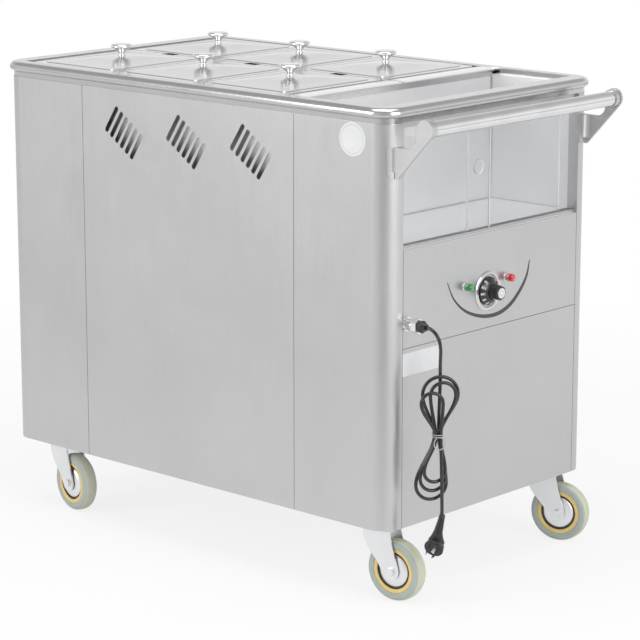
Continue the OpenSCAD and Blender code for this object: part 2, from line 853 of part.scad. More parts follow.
module cable_gland() {
  color(zinc) placed() translate([end_x, gland_y, gland_z]) rotate([0, 90, 0]) difference() {
    union() {
      translate([0, 0, -sheet - 8]) cylinder(r = gland_r - 3, h = sheet + 8);
      translate([0, 0, -sheet - 6]) cylinder(r = gland_r + 3, h = 6, $fn = 6);
      cylinder(r = gland_r + 2, h = 3);
      cylinder(r = gland_r, h = gland_base_out);
      translate([0, 0, gland_base_out])
        cylinder(r = gland_r + 3.5, h = gland_hex_out - gland_base_out, $fn = 6);
    }
    gland_bore();
  }
}

module gland_nut() {
  color(dark) placed() translate([end_x, gland_y, gland_z]) rotate([0, 90, 0]) difference() {
    rotate_extrude() polygon([
      [0, gland_hex_out], [gland_r, gland_hex_out], [gland_r + 0.5, gland_hex_out + 8],
      [gland_r - 2, gland_out - 8], [gland_r - 5, gland_out], [0, gland_out]
    ]);
    gland_bore();
  }
}

// Ring of points about c, in the plane across the direction t
function ring(c, t, r, n, up) =
  let (a = unit(cross(up, t)), b = cross(t, a))
  [for (i = [0:n - 1]) c + r * (cos(360 * i / n) * a + sin(360 * i / n) * b)];

function tangent(p, i) =
  unit(p[min(i + 1, len(p) - 1)] - p[max(i - 1, 0)]);

// One closed tube along the points p; d0 and d1 are the directions at its ends
module tube(p, r, n, up, d0, d1) {
  last = len(p) - 1;
  verts = [for (i = [0:last])
    each ring(p[i], i == 0 ? d0 : (i == last ? d1 : tangent(p, i)), r, n, up)];
  ends = [[for (i = [0:n - 1]) i], [for (i = [n - 1:-1:0]) last * n + i]];
  sides = [for (j = [0:last - 1], i = [0:n - 1])
    let (a = j * n + i, b = j * n + (i + 1) % n)
    each [[a, a + n, b], [b, a + n, b + n]]];
  polyhedron(verts, concat(ends, sides));
}

// One fold: up a leg, round an arc and back. side is the side it starts on, dir is up or down
function fold(f, side, dir, n0, n1) =
  let (h = f[0], r = f[1], lean = f[2], leg = h - r)
  concat(
    [for (i = [0:fold_leg - 1]) let (t = i / fold_leg)
      [side * (hank_waist + (r - hank_waist) * smooth(t)) + lean * smooth(t), n0, dir * leg * t]],
    [for (i = [0:fold_arc]) let (a = 180 * i / fold_arc)
      [side * r * cos(a) + lean, n0 + (n1 - n0) * smooth(i / fold_arc), dir * (leg + r * sin(a))]],
    [for (i = [1:fold_leg - 1]) let (t = 1 - i / fold_leg)
      [-side * (hank_waist + (r - hank_waist) * smooth(t)) + lean * smooth(t), n1, dir * leg * t]]
  );

// The strand that comes down behind the loops, and the one that leaves for the plug
hank_start = [[7, -1.5 * hank_pitch, 124], [7, -1.5 * hank_pitch, 117], [6.8, -1.5 * hank_pitch, 92],
  [6, -1.5 * hank_pitch, 66], [5.2, -1.5 * hank_pitch, 40], [hank_waist, -1.5 * hank_pitch, 18]];
hank_end = [[hank_waist, 1.5 * hank_pitch, 0], [5, 1.6 * hank_pitch, -18], [5.5, 1.75 * hank_pitch, -38],
  [6, 1.9 * hank_pitch, -60], [6.5, 2 * hank_pitch, -84], [7, 2 * hank_pitch, -106],
  [7.5, 1.9 * hank_pitch, -128], [8, 1.8 * hank_pitch, -148], [8, 1.8 * hank_pitch, -155],
  [8, 1.8 * hank_pitch, -162]];

function hank_local() = concat(
  hank_start,
  [for (j = [0:2]) each concat(
    fold(low_folds[j], 1, -1, (j - 1.5) * hank_pitch, (j - 0.5) * hank_pitch),
    fold(top_folds[j], -1, 1, (j - 0.5) * hank_pitch, (j - 0.5) * hank_pitch))],
  hank_end
);

// From the hank's own axes (across, outwards, up) to the trolley's
function hank_point(q) = hank_at + [
  q[0] * sin(hank_turn) + q[1] * cos(hank_turn),
  q[0] * cos(hank_turn) - q[1] * sin(hank_turn),
  q[2]
];

hank_route = [for (q = hank_local()) hank_point(q)];

function route_len(p, i = 0, sum = 0) =
  i >= len(p) - 1 ? sum : route_len(p, i + 1, sum + norm(p[i + 1] - p[i]));

// Least clear gap between stretches of the hank more than eight points apart
function least_gap(p, skip) =
  min([for (i = [0:len(p) - 1], j = [i + skip:1:len(p) - 1]) norm(p[i] - p[j])]) - cord_d;

module cord_upper() {
  route = concat([gland_start, gland_end], [for (p = upper_route) gland_end + p], [hank_route[0]]);
  color(dark) placed() tube(route, cord_r, 8, [0, 1, 0], [1, 0, 0], [0, 0, -1]);
}

module cord_hank() {
  echo(hank_gap = least_gap(hank_route, 8), hank_length = route_len(hank_route));
  color(dark) placed()
    tube(hank_route, cord_r, hank_sides, hank_up, [0, 0, -1], [0, 0, -1]);
}

hank_up = [cos(hank_turn), -sin(hank_turn), 0];

// Wire tie round the hank's waist
module cord_tie() {
  half_n = 1.5 * hank_pitch + cord_r + 0.6;
  half_s = hank_waist + cord_r + 0.6;
  t = 1.4;
  color([0.75, 0.75, 0.72]) placed() translate([hank_at[0], hank_at[1], hank_at[2] - 3])
    rotate([0, 0, -hank_turn]) linear_extrude(6) difference() {
      rrect(2 * half_n + 2 * t, 2 * half_s + 2 * t, 5);
      rrect(2 * half_n, 2 * half_s, 5 - t);
    }
}

plug_stub = 4;       // straight start of the plug, below the cord's end
plug_relief = 28;
plug_shoulder = 19;
plug_drop = 61.6;    // from the cord's end to the middle of the plug's body
plug_r = 19.6;
relief_dir = [-0.0925, -0.248, -0.964];
plug_face_dir = [0.27, -0.87, -0.41];

module facing(dir) {
  rotate([0, acos(dir[2] / norm(dir)), atan2(dir[1], dir[0])]) children();
}

// Round plug with flat pins; the cord enters its rim through a tapered strain relief
module plug() {
  color(dark) placed() translate(hank_route[len(hank_route) - 1]) {
    translate([0, 0, -plug_stub]) {
      cylinder(r = 5.4, h = plug_stub);
      facing(relief_dir) {
        cylinder(r1 = 6, r2 = 9, h = plug_relief);
        translate([0, 0, plug_relief - 1]) cylinder(r1 = 9, r2 = 13, h = plug_shoulder);
      }
    }
    translate(plug_drop * unit(relief_dir)) facing(plug_face_dir) {
      rotate_extrude() polygon([
        [0, -18.6], [6, -18.2], [11, -16.4], [15, -12.8], [17.4, -8], [18.5, -2], [plug_r - 0.5, 2],
        [plug_r, 2.8], [plug_r, 4.2], [plug_r - 0.7, 5], [0, 5]
      ]);
      for (turn = [30, 150, 270]) rotate([0, 0, turn])
        translate([8.4, -3.3, 4]) cube([1.6, 6.6, 18.8]);
    }
  }
}

// ---------------------------------------------------------------- casters

module at_swivel(n) {
  s = swivels[n - 1];
  translate([s[0], s[1], 0]) rotate([0, 0, s[2]]) children();
}

module caster_plates() {
  color(zinc) placed() for (s = swivels) translate([s[0], s[1], 0]) difference() {
    union() {
      translate([0, 0, plate_z]) rplate(plate_l, plate_w, plate_t, 8);
      translate([0, 0, race_z]) cylinder(r = race_r, h = race_h);
    }
    translate([0, 0, race_z - over]) cylinder(r = pin_r + run, h = race_h + plate_t + 2 * over);
  }
}

// One leg in its own plane, x along the trail and y up: a broad tongue that narrows to the axle
module leg_outline() {
  drop = crown_top - axle_z;
  translate([trail - 2, axle_z]) circle(leg_end_r);
  polygon([
    [-32, crown_top], [-31, axle_z + 0.85 * drop], [-27, axle_z + 0.66 * drop],
    [-15, axle_z + 0.44 * drop], [5, axle_z + 0.18 * drop], [trail - 17, axle_z - 11],
    [trail + 13, axle_z - 11], [trail + 15, axle_z + 0.12 * drop],
    [trail + 4.5, axle_z + 0.54 * drop], [trail - 4, axle_z + 0.9 * drop], [trail - 5, crown_top]
  ]);
}

module fork(n) {
  leg_y = tyre_w / 2 + leg_gap;
  crown_w = 2 * (leg_y + leg_t);
  color(zinc) placed() at_swivel(n) {
    // folded crown and its two legs
    translate([-32, -crown_w / 2, crown_top - crown_t]) cube([trail + 27, crown_w, crown_t]);
    translate([0, 0, crown_top - crown_t]) cylinder(r = race_r + 3, h = crown_t);
    for (s = [-1, 1])
      translate([0, s * (leg_y + leg_t / 2) + leg_t / 2, 0]) rotate([90, 0, 0])
        linear_extrude(leg_t) leg_outline();
    // king pin through the plate
    translate([0, 0, crown_top - crown_t]) cylinder(r = pin_r, h = floor_gap - crown_top + crown_t - 0.5);
    // axle bolt with its head and nut
    translate([trail, 0, axle_z]) rotate([90, 0, 0]) {
      translate([0, 0, -leg_y - leg_t]) cylinder(r = axle_r, h = 2 * (leg_y + leg_t));
      translate([0, 0, leg_y + leg_t]) cylinder(r = 8.5, h = 5, $fn = 6);
      translate([0, 0, -leg_y - leg_t - 6]) cylinder(r = 8.5, h = 6, $fn = 6);
    }
  }
}

module about_axle(n) {
  at_swivel(n) translate([trail, 0, axle_z]) rotate([90, 0, 0]) children();
}

module hub(n) {
  half = tyre_w / 2;
  color([0.9, 0.78, 0.45]) placed() about_axle(n) rotate_extrude() polygon([
    [axle_r + run, -half - 1.5], [12, -half - 1.5], [30, -half + 2], [34, -half + 5],
    [38, -half + 5], [38.5, -half + 1.5], [hub_r, -half + 1.5],
    [hub_r, half - 1.5], [38.5, half - 1.5], [38, half - 5],
    [34, half - 5], [30, half - 2], [12, half + 1.5], [axle_r + run, half + 1.5]
  ]);
}

module tyre(n) {
  half = tyre_w / 2;
  shoulder = 6;
  tread_r = wheel_d / 2;
  color([0.72, 0.76, 0.7]) placed() about_axle(n) rotate_extrude() polygon(concat(
    [[hub_r + run, -half + 1], [tread_r - shoulder - 4, -half]],
    arc_pts([tread_r - shoulder, -half + shoulder], shoulder, -90, 0, 5),
    arc_pts([tread_r - shoulder, half - shoulder], shoulder, 0, 90, 5),
    [[tread_r - shoulder - 4, half], [hub_r + run, half - 1]]));
}

// ---------------------------------------------------------------- nodes

base_tray();
caster_rails();
corner_panels_handle_end();
corner_panels_plain_end();
front_vent_panel();
back_vent_panel();
plain_end_panel();
control_panel();
lower_end_panel();
storage_liner();
door_track_top();
door_track_bottom();
door_left();
door_right();
top_rim();
deck_sheet();
divider_bars();
water_tank();
heating_elements();
thermostat();
terminal_block();
handle_bar();
handle_brackets();
dial_bezel();
dial_knob();
dial_shaft();
lamp_green();
lamp_red();
cable_gland();
gland_nut();
cord_upper();
cord_hank();
cord_tie();
plug();
caster_plates();
for (n = [1:6]) {
  pan(n);
  lid(n);
}
for (n = [1:caster_count]) {
  fork(n);
  hub(n);
  tyre(n);
}
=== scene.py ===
"""Looks of the hostess trolley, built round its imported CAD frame.

Lengths are in millimetres in the trolley's own axes: x towards the handle end, y towards the back
and z up from the floor. at() turns them into metres in the row frame.
"""
import math

import bmesh
import bpy
from mathutils import Matrix, Vector


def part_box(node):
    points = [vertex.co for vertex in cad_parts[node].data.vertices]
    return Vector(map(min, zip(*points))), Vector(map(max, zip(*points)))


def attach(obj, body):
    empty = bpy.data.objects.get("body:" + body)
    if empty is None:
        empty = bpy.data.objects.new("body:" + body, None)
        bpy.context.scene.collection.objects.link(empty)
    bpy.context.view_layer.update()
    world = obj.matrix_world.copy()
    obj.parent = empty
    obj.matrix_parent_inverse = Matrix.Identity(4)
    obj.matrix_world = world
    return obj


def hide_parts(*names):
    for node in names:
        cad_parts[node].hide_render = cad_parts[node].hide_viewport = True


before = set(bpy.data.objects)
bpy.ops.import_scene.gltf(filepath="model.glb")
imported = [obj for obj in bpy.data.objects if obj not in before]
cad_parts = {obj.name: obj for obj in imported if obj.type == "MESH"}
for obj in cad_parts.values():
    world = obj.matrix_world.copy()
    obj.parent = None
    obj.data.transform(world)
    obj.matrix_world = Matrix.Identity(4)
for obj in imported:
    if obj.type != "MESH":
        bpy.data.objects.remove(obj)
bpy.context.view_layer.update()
MM = 0.001
TAU = 2 * math.pi
PLUS_X, PLUS_Y, PLUS_Z = Vector((1, 0, 0)), Vector((0, 1, 0)), Vector((0, 0, 1))
AXES = (PLUS_X, PLUS_Y, PLUS_Z)
SHIFT = -42.0           # the cabinet's middle along x in the row frame
END_X = 550.0           # outer face of the handle end
SIDE_Y = 325.0          # outer face of the long sides
SILL_Z = 717.0          # lower edge of the window


def at(x, y, z):
    return Vector(((x + SHIFT) * MM, y * MM, z * MM))


def angles(n):
    """n even steps once round a circle."""
    return [TAU * i / n for i in range(n)]


def link(name, data):
    """A new object in the scene that shows this data."""
    obj = bpy.data.objects.new(name, data)
    bpy.context.scene.collection.objects.link(obj)
    return obj


# ---------------------------------------------------------------- camera

AZIMUTH, ELEVATION, DISTANCE = 42.381, 12.853, 5.6994
TARGET = Vector((0.00064, 0.040, 0.44844))
FOCAL_LENGTH, SENSOR_WIDTH = 147.9, 36


def make_camera():
    data = bpy.data.cameras.new("photo_camera")
    data.lens, data.sensor_width = FOCAL_LENGTH, SENSOR_WIDTH
    data.clip_start, data.clip_end = 0.1, 60
    cam = link("photo_camera", data)
    a, e = math.radians(AZIMUTH), math.radians(ELEVATION)
    back = Vector((math.sin(a) * math.cos(e), -math.cos(a) * math.cos(e), math.sin(e)))
    cam.location = TARGET + back * DISTANCE
    cam.rotation_mode = "QUATERNION"
    cam.rotation_quaternion = (-back).to_track_quat("-Z", "Y")
    bpy.context.scene.camera = cam


make_camera()

# ---------------------------------------------------------------- node helpers

ALONG_GRAIN = 1.2       # noise scale along a sheet's grain; across it the scale is tens of times that
NOISE_SPAN = (0.3, 0.7)     # where nearly all of a noise's values lie


class Nodes:
    """A node tree with short ways to add and join nodes."""

    def __init__(self, tree):
        self.tree = tree

    def put(self, socket, value):
        if isinstance(value, bpy.types.NodeSocket):
            self.tree.links.new(value, socket)
        else:
            socket.default_value = value

    def add(self, kind, inputs=None, **props):
        node = self.tree.nodes.new(kind)
        for key, value in props.items():
            setattr(node, key, value)
        for key, value in (inputs or {}).items():
            self.put(node.inputs[key], value)
        return node

    def maths(self, operation, a, b):
        return self.add("ShaderNodeMath", {0: a, 1: b}, operation=operation).outputs[0]

    def eased(self, value, start, stop, low=0.0, high=1.0):
        """Goes smoothly from low to high while value goes from start to stop."""
        return self.add("ShaderNodeMapRange", {
            "Value": value, "From Min": start, "From Max": stop, "To Min": low, "To Max": high},
            interpolation_type="SMOOTHSTEP").outputs[0]

    def seen_rays(self):
        """1 for rays that show things directly, in a mirror or through glass; then mirrors alone."""
        path = self.add("ShaderNodeLightPath").outputs
        seen = self.maths("MAXIMUM", path["Is Camera Ray"], path["Is Glossy Ray"])
        return self.maths("MAXIMUM", seen, path["Is Transmission Ray"]), path["Is Glossy Ray"]


def with_alpha(value):
    """A colour of three numbers gets its alpha; anything else stays as it is."""
    return (*value, 1.0) if isinstance(value, tuple) and len(value) == 3 else value


class Graph(Nodes):
    """A new material's node tree, its shader and the piece's own coordinates."""

    def __init__(self, name):
        self.mat = bpy.data.materials.new(name)
        self.mat.use_nodes = True
        super().__init__(self.mat.node_tree)
        self.shader = self.tree.nodes["Principled BSDF"]
        self.coords = self.add("ShaderNodeTexCoord").outputs["Object"]

    def stretched(self, scale):
        return self.add("ShaderNodeMapping", {"Vector": self.coords, "Scale": scale}).outputs[0]

    def noise(self, scale, detail=3.0, rough=0.55, vector=None, distort=0.0):
        return self.add("ShaderNodeTexNoise", {
            "Vector": vector or self.coords, "Scale": scale, "Detail": detail,
            "Roughness": rough, "Distortion": distort}).outputs["Fac"]

    def ranged(self, noise, low, high):
        """Spreads a noise's values over low to high."""
        return self.add("ShaderNodeMapRange", {
            "Value": noise, "From Min": NOISE_SPAN[0], "From Max": NOISE_SPAN[1],
            "To Min": low, "To Max": high}).outputs[0]

    def mixed(self, factor, a, b, blend="MIX"):
        node = self.add("ShaderNodeMix", data_type="RGBA", blend_type=blend)
        for socket, value in ((node.inputs[0], factor), (node.inputs[6], a), (node.inputs[7], b)):
            self.put(socket, with_alpha(value))
        return node.outputs[2]

    def sum(self, *values):
        total = values[0]
        for value in values[1:]:
            total = self.maths("ADD", total, value)
        return total

    def times(self, value, by):
        return self.maths("MULTIPLY", value, by)

    def bump(self, height, strength, distance):
        out = self.add("ShaderNodeBump", {
            "Height": height, "Strength": strength, "Distance": distance}).outputs[0]
        self.put(self.shader.inputs["Normal"], out)

    def set(self, **values):
        """Sets the shader's sockets; an underscore stands for a space in a socket's name."""
        for key, value in values.items():
            self.put(self.shader.inputs[key.replace("_", " ")], with_alpha(value))


def spread_of(tone, by):
    """The darker and lighter ends of a colour, or of a near-neutral grey where tone is a number."""
    colour = tone if isinstance(tone, tuple) else (tone, tone, tone * 1.01)
    return tuple(c * (1 - by) for c in colour), tuple(min(1.0, c * (1 + by)) for c in colour)


def brushed(name, tone, rough, grain, along, cloud, streak, dent, relief=0.25, metal=1.0):
    """Stainless sheet: long fine grain along one axis, soft clouding and faint handling marks.

    The denoiser takes metal for a mirror below a roughness of about 0.27 and for a dull face above
    it, so a sheet's roughness varies little enough to stay on one side.
    """
    g = Graph(name)
    scale = tuple(ALONG_GRAIN if axis == along else grain for axis in "xyz")
    lines = g.noise(9.0, 5.0, 0.62, g.stretched(scale))
    clouds = g.noise(3.1, 4.0, 0.6, distort=0.4)
    marks = g.noise(38.0, 3.0, 0.5, distort=1.4)
    low, high = spread_of(tone, cloud)
    colour = g.mixed(g.ranged(clouds, 0, 1), low, high)
    shade = g.ranged(lines, 1 - streak, 1 + streak * 0.6)
    tone_mix = g.add("ShaderNodeCombineColor", {0: shade, 1: shade, 2: shade}).outputs[0]
    g.set(Base_Color=g.mixed(1.0, colour, tone_mix, "MULTIPLY"), Metallic=metal)
    g.set(Roughness=g.sum(g.ranged(lines, rough - 0.03, rough + 0.04),
                          g.ranged(marks, -0.02, 0.02), g.ranged(clouds, -0.02, 0.02)))
    g.bump(g.sum(g.times(lines, relief), g.times(clouds, dent * 6)), 0.35, 0.0006)
    return g.mat


def polished(name, tone, rough, ripple=0.3):
    """Bright polished or cast metal with a slow ripple, hairline scratches and dull patches."""
    g = Graph(name)
    slow = g.noise(14.0, 2.0, 0.5)
    fine = g.noise(420.0, 2.0, 0.6)
    hair = g.noise(60.0, 4.0, 0.7, g.stretched((1.0, 14.0, 14.0)))
    low, high = spread_of(tone, 0.04)
    g.set(Base_Color=g.mixed(g.ranged(slow, 0, 1), low, high), Metallic=1.0)
    g.set(Roughness=g.sum(g.ranged(slow, rough - 0.03, rough + 0.05), g.ranged(hair, 0.0, 0.05)))
    g.bump(g.sum(g.times(slow, ripple * 4), g.times(fine, 0.08)), 0.25, 0.0006)
    return g.mat


def moulded(name, colour, rough, grain=900.0, depth=0.00012, spread=0.12, coat=0.0, specular=0.5):
    """Moulded plastic or rubber: slight tone changes, a fine skin and small scuffs."""
    g = Graph(name)
    skin = g.noise(grain, 2.0, 0.6)
    wear = g.noise(24.0, 4.0, 0.65, distort=0.8)
    low, high = spread_of(colour, spread)
    g.set(Base_Color=g.mixed(g.ranged(wear, 0, 1), low, high), Coat_Weight=coat)
    g.set(Roughness=g.sum(g.ranged(wear, rough - 0.06, rough + 0.08), g.ranged(skin, -0.02, 0.03)))
    g.set(Specular_IOR_Level=specular, Coat_Roughness=0.15)
    g.bump(skin, 0.5, depth)
    return g.mat


def lens(name, colour):
    """Clear coloured plastic with light trapped inside it."""
    g = Graph(name)
    deep = g.noise(160.0, 2.0, 0.5)
    g.set(Base_Color=g.mixed(g.ranged(deep, 0, 1), tuple(c * 0.75 for c in colour), colour))
    g.set(Roughness=g.ranged(deep, 0.05, 0.14))
    g.set(Transmission_Weight=0.12, IOR=1.49, Coat_Weight=0.6, Coat_Roughness=0.05)
    g.bump(deep, 0.2, 0.0002)
    return g.mat


def clear_sheet(name):
    """Clear acrylic with a slight haze and wipe marks; its index is low, so it hardly bends light."""
    g = Graph(name)
    haze = g.noise(7.0, 4.0, 0.6, distort=0.6)
    wipe = g.noise(22.0, 3.0, 0.6, g.stretched((1.0, 0.5, 3.0)))
    g.set(Base_Color=g.mixed(g.ranged(haze, 0, 1), (0.965, 0.975, 0.98), (0.99, 0.993, 0.995)))
    g.set(Roughness=g.sum(g.ranged(haze, 0.01, 0.04), g.ranged(wipe, 0.0, 0.03)))
    g.set(Transmission_Weight=1.0, IOR=1.2)
    g.bump(haze, 0.05, 0.0004)
    return g.mat


# after each sheet's name: tone, roughness, grain and its axis, clouding, streaks, dents
MATS = {
    "panel": brushed("brushed_panel_steel", 0.57, 0.37, 60.0, "z", 0.035, 0.03, 0.10),
    "rim": brushed("satin_rim_steel", 0.57, 0.19, 90.0, "x", 0.03, 0.03, 0.08),
    "deck": brushed("deck_steel", 0.66, 0.19, 70.0, "x", 0.04, 0.03, 0.10),
    "liner": brushed("liner_steel", 0.88, 0.40, 45.0, "y", 0.03, 0.02, 0.08, 0.15, 0.70),
    "pan": brushed("pan_steel", 0.72, 0.19, 80.0, "x", 0.04, 0.04, 0.10),
    "lid": brushed("lid_steel", 0.72, 0.17, 80.0, "x", 0.05, 0.03, 0.08),
    "divider": brushed("bright_divider_steel", 0.90, 0.14, 80.0, "y", 0.02, 0.02, 0.04),
    "track": brushed("track_channel_steel", 0.55, 0.38, 60.0, "y", 0.03, 0.03, 0.06),
    "bezel": brushed("spun_bezel_metal", 0.66, 0.19, 60.0, "y", 0.03, 0.03, 0.04),
    "bar": polished("polished_bar_steel", 0.74, 0.09),
    "knob": polished("polished_knob", 0.80, 0.10, 0.2),
    "bracket": polished("cast_bracket_metal", 0.58, 0.33, 0.4),
    "chrome": polished("chrome", 0.84, 0.07, 0.1),
    "zinc": brushed("zinc_plated_sheet", (0.60, 0.61, 0.63), 0.42, 40.0, "y", 0.08, 0.05, 0.2),
    "fork": polished("zinc_plated_fork", (0.80, 0.805, 0.815), 0.33, 0.4),
    "sheath": polished("heater_sheath", (0.34, 0.31, 0.29), 0.4),
    "thermo": moulded("thermostat_body", (0.75, 0.73, 0.68), 0.45),
    "terminal": moulded("terminal_plastic", (0.82, 0.81, 0.75), 0.4),
    "black": moulded("black_phenolic", (0.012, 0.012, 0.013), 0.22, coat=0.4),
    "print": moulded("white_print", (0.85, 0.85, 0.83), 0.5, spread=0.04),
    "cap": moulded("dial_cap_foil", (0.80, 0.80, 0.80), 0.35, spread=0.05),
    "cord": moulded("cord_rubber", (0.010, 0.010, 0.011), 0.2, 1300.0, 0.00004, 0.25, coat=0.35),
    "plug": moulded("plug_plastic", (0.018, 0.018, 0.019), 0.34, 1000.0, 0.00016, 0.2),
    "tie": moulded("tie_plastic", (0.42, 0.42, 0.42), 0.3, coat=0.4),
    "brass": polished("pin_nickel", (0.82, 0.80, 0.76), 0.15, 0.2),
    "ring": moulded("yellow_hub_plastic", (0.82, 0.60, 0.22), 0.42, 500.0, 0.0001, 0.06),
    # near-black for the hub's recessed groove: painted shade
    "hub_groove_shade": moulded("hub_shadow_ring", (0.05, 0.05, 0.05), 0.5),
    "tyre": moulded("tyre_side_rubber", (0.42, 0.47, 0.43), 0.55, 300.0, 0.0002, 0.05),
    "tread": moulded("tyre_tread_rubber", (0.60, 0.62, 0.47), 0.6, 220.0, 0.0003, 0.07),
    "plate": moulded("blank_plate_film", (0.74, 0.75, 0.76), 0.32, spread=0.03),
    "disc": moulded("blank_disc_film", (0.80, 0.80, 0.80), 0.35, spread=0.03),
    "disc_ring": moulded("blank_disc_border", (0.60, 0.60, 0.61), 0.35, spread=0.03),
    # near-black, with no shine: painted shade for the dark opening under each lid's ladle notch
    "slot": moulded("painted_slot_shadow", (0.008, 0.008, 0.008), 0.9, spread=0.2, specular=0.0),
    "arc": moulded("black_arc_strip", (0.03, 0.03, 0.032), 0.3, spread=0.2, coat=0.3),
    # near-white opaque acrylic edge: painted highlight of the light that cut edges catch
    "edge": moulded("acrylic_edge_painted_highlight", (0.95, 0.96, 0.96), 0.3, spread=0.03, coat=0.2),
    "pad": moulded("pale_finger_pad", (0.84, 0.84, 0.83), 0.4, spread=0.03),
    "acrylic": clear_sheet("clear_acrylic"),
    "clear_base": moulded("pale_lamp_base", (0.72, 0.74, 0.73), 0.15, coat=0.6),
    "green": lens("green_lens_plastic", (0.0, 0.33, 0.06)),
    "red": lens("red_lens_plastic", (0.80, 0.004, 0.012)),
}

FINISH = {
    "panel": ["corner_panels_handle_end", "corner_panels_plain_end", "front_vent_panel",
              "back_vent_panel", "plain_end_panel", "control_panel", "lower_end_panel"],
    "rim": ["top_rim"],
    "deck": ["deck_sheet"],
    "divider": ["divider_bars"],
    "liner": ["storage_liner", "water_tank"],
    "track": ["door_track_top", "door_track_bottom"],
    "pan": [f"pan_{n}" for n in range(1, 7)],
    "bar": ["handle_bar"],
    "bracket": ["handle_brackets"],
    "bezel": ["dial_bezel"],
    "chrome": ["dial_shaft", "cable_gland"],
    "black": ["gland_nut"],
    "zinc": ["base_tray", "caster_rails", "caster_plates"],
    "fork": [f"fork_{n}" for n in range(1, 5)],
    "sheath": ["heating_elements"],
    "thermo": ["thermostat"],
    "terminal": ["terminal_block"],
}
for key, names in FINISH.items():
    for name in names:
        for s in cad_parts[name].material_slots:
            s.link = "OBJECT"
            s.material = MATS[key]

# ---------------------------------------------------------------- mesh helpers

WELD = 0.00001          # points closer than this become one, in metres
TUBE_SIDES = 10


def sharpen(bm, degrees):
    limit = math.radians(degrees)
    for f in bm.faces:
        f.smooth = True
    for e in bm.edges:
        if len(e.link_faces) != 2 or e.calc_face_angle(0) > limit:
            e.smooth = False


def piece(name, bm, mats, body, replaces=(), degrees=32, outward=True):
    """Makes a mesh's object, which rides on a body and may replace CAD nodes.

    mats are names in MATS, and a face's material index is a place in that list.
    """
    if outward:
        bmesh.ops.recalc_face_normals(bm, faces=bm.faces)
    sharpen(bm, degrees)
    mesh = bpy.data.meshes.new(name)
    bm.to_mesh(mesh)
    bm.free()
    obj = link(name, mesh)
    for m in mats:
        mesh.materials.append(MATS[m])
    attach(obj, body)
    if replaces:
        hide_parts(*replaces)
    return obj


def frame_of(axis, hint=None):
    """An axis as a unit vector, and two unit vectors across it, the first one nearest to hint."""
    axis = axis.normalized()
    hint = hint or (PLUS_Z if abs(axis.z) < 0.9 else PLUS_X)
    u = (hint - axis * hint.dot(axis)).normalized()
    return axis, u, axis.cross(u)


def spoke(u, v, a):
    """The unit vector at an angle a from u towards v."""
    return u * math.cos(a) + v * math.sin(a)


def lathe(bm, centre, axis, profile, sides=64, mat=0, mats=None):
    """Turns a closed or open profile of (radius, along) in millimetres about an axis."""
    axis, u, v = frame_of(axis)
    rings = []
    for r, h in profile:
        mid = centre + axis * h * MM
        if r == 0:
            rings.append([bm.verts.new(mid)] * sides)
        else:
            rings.append([bm.verts.new(mid + spoke(u, v, t) * r * MM) for t in angles(sides)])
    for k in range(len(rings) - 1):
        a, b = rings[k], rings[k + 1]
        for i in range(sides):
            j = (i + 1) % sides
            corners = [a[i], a[j], b[j], b[i]]
            unique = [c for n, c in enumerate(corners) if c not in corners[:n]]
            if len(unique) >= 3:
                f = bm.faces.new(unique)
                f.material_index = mats[k] if mats else mat


def slab(bm, origin, axes, size, radius=0.0, mat=0):
    """A box with its middle at origin and its sides along three axes, all its edges rounded."""
    made = bmesh.ops.create_cube(bm, size=1.0)["verts"]
    turn = Matrix(axes).transposed()
    for p in made:
        p.co = origin + turn @ Vector([c * s * MM for c, s in zip(p.co, size, strict=True)])
    faces = {f for p in made for f in p.link_faces}
    for f in faces:
        f.material_index = mat
    if radius:
        edges = list({e for f in faces for e in f.edges})
        bmesh.ops.bevel(bm, geom=edges, offset=radius * MM, segments=3, profile=0.5,
                        affect="EDGES", clamp_overlap=True)


def loft(bm, rings, caps=True, mats=None):
    """Joins rings of points, each with the same number, into a skin, closed where it has caps."""
    made = [[bm.verts.new(p) for p in ring] for ring in rings]
    n = len(made[0])
    for k in range(len(made) - 1):
        for i in range(n):
            j = (i + 1) % n
            f = bm.faces.new((made[k][i], made[k][j], made[k + 1][j], made[k + 1][i]))
            f.material_index = mats[k] if mats else 0
    if caps:
        bm.faces.new(list(reversed(made[0])))
        bm.faces.new(made[-1])
    return made


def smooth_line(points, steps):
    """Points on a curve that passes through all the given ones."""
    out = []
    n = len(points)
    for i in range(n - 1):
        p0, p1, p2, p3 = points[max(i - 1, 0)], points[i], points[i + 1], points[min(i + 2, n - 1)]
        t01, t12, t23 = (max((b - a).length, 1e-9) ** 0.5
                         for a, b in ((p0, p1), (p1, p2), (p2, p3)))
        m1 = m2 = p2 - p1
        if i:
            m1 = (p2 - p1) - t12 * ((p2 - p0) / (t01 + t12) - (p1 - p0) / t01)
        if i < n - 2:
            m2 = (p2 - p1) - t12 * ((p3 - p1) / (t12 + t23) - (p3 - p2) / t23)
        for k in range(steps):
            t = k / steps
            out.append((2 * t**3 - 3 * t**2 + 1) * p1 + (t**3 - 2 * t**2 + t) * m1
                       + (3 * t**2 - 2 * t**3) * p2 + (t**3 - t**2) * m2)
    out.append(points[-1])
    return out


def tube(bm, line, radius, caps=True):
    """A round tube along points, its section turned smoothly from point to point."""
    rings, hint = [], None
    last = len(line) - 1
    for i, p in enumerate(line):
        t = (line[min(i + 1, last)] - line[max(i - 1, 0)]).normalized()
        if hint is None:
            hint = frame_of(t)[1]
        _, u, v = frame_of(t, hint)
        hint = u
        r = radius(i / last) if callable(radius) else radius
        rings.append([p + spoke(u, v, a) * r * MM for a in angles(TUBE_SIDES)])
    loft(bm, rings, caps)


# ---------------------------------------------------------------- cord, tie and plug

CORD_R, TIE_R = 3.5, 1.1
HANK_AT = Vector((624, -258, 358))      # the middle of the tie
HANK_TURN = math.radians(40)            # how far the hank's face is turned from the handle end's
PITCH, WAIST = 8.6, 4.8                 # between strands across the tie, and from its middle to them
LEG, ARC = 9, 10                        # points on a loop's straight leg and on its round end
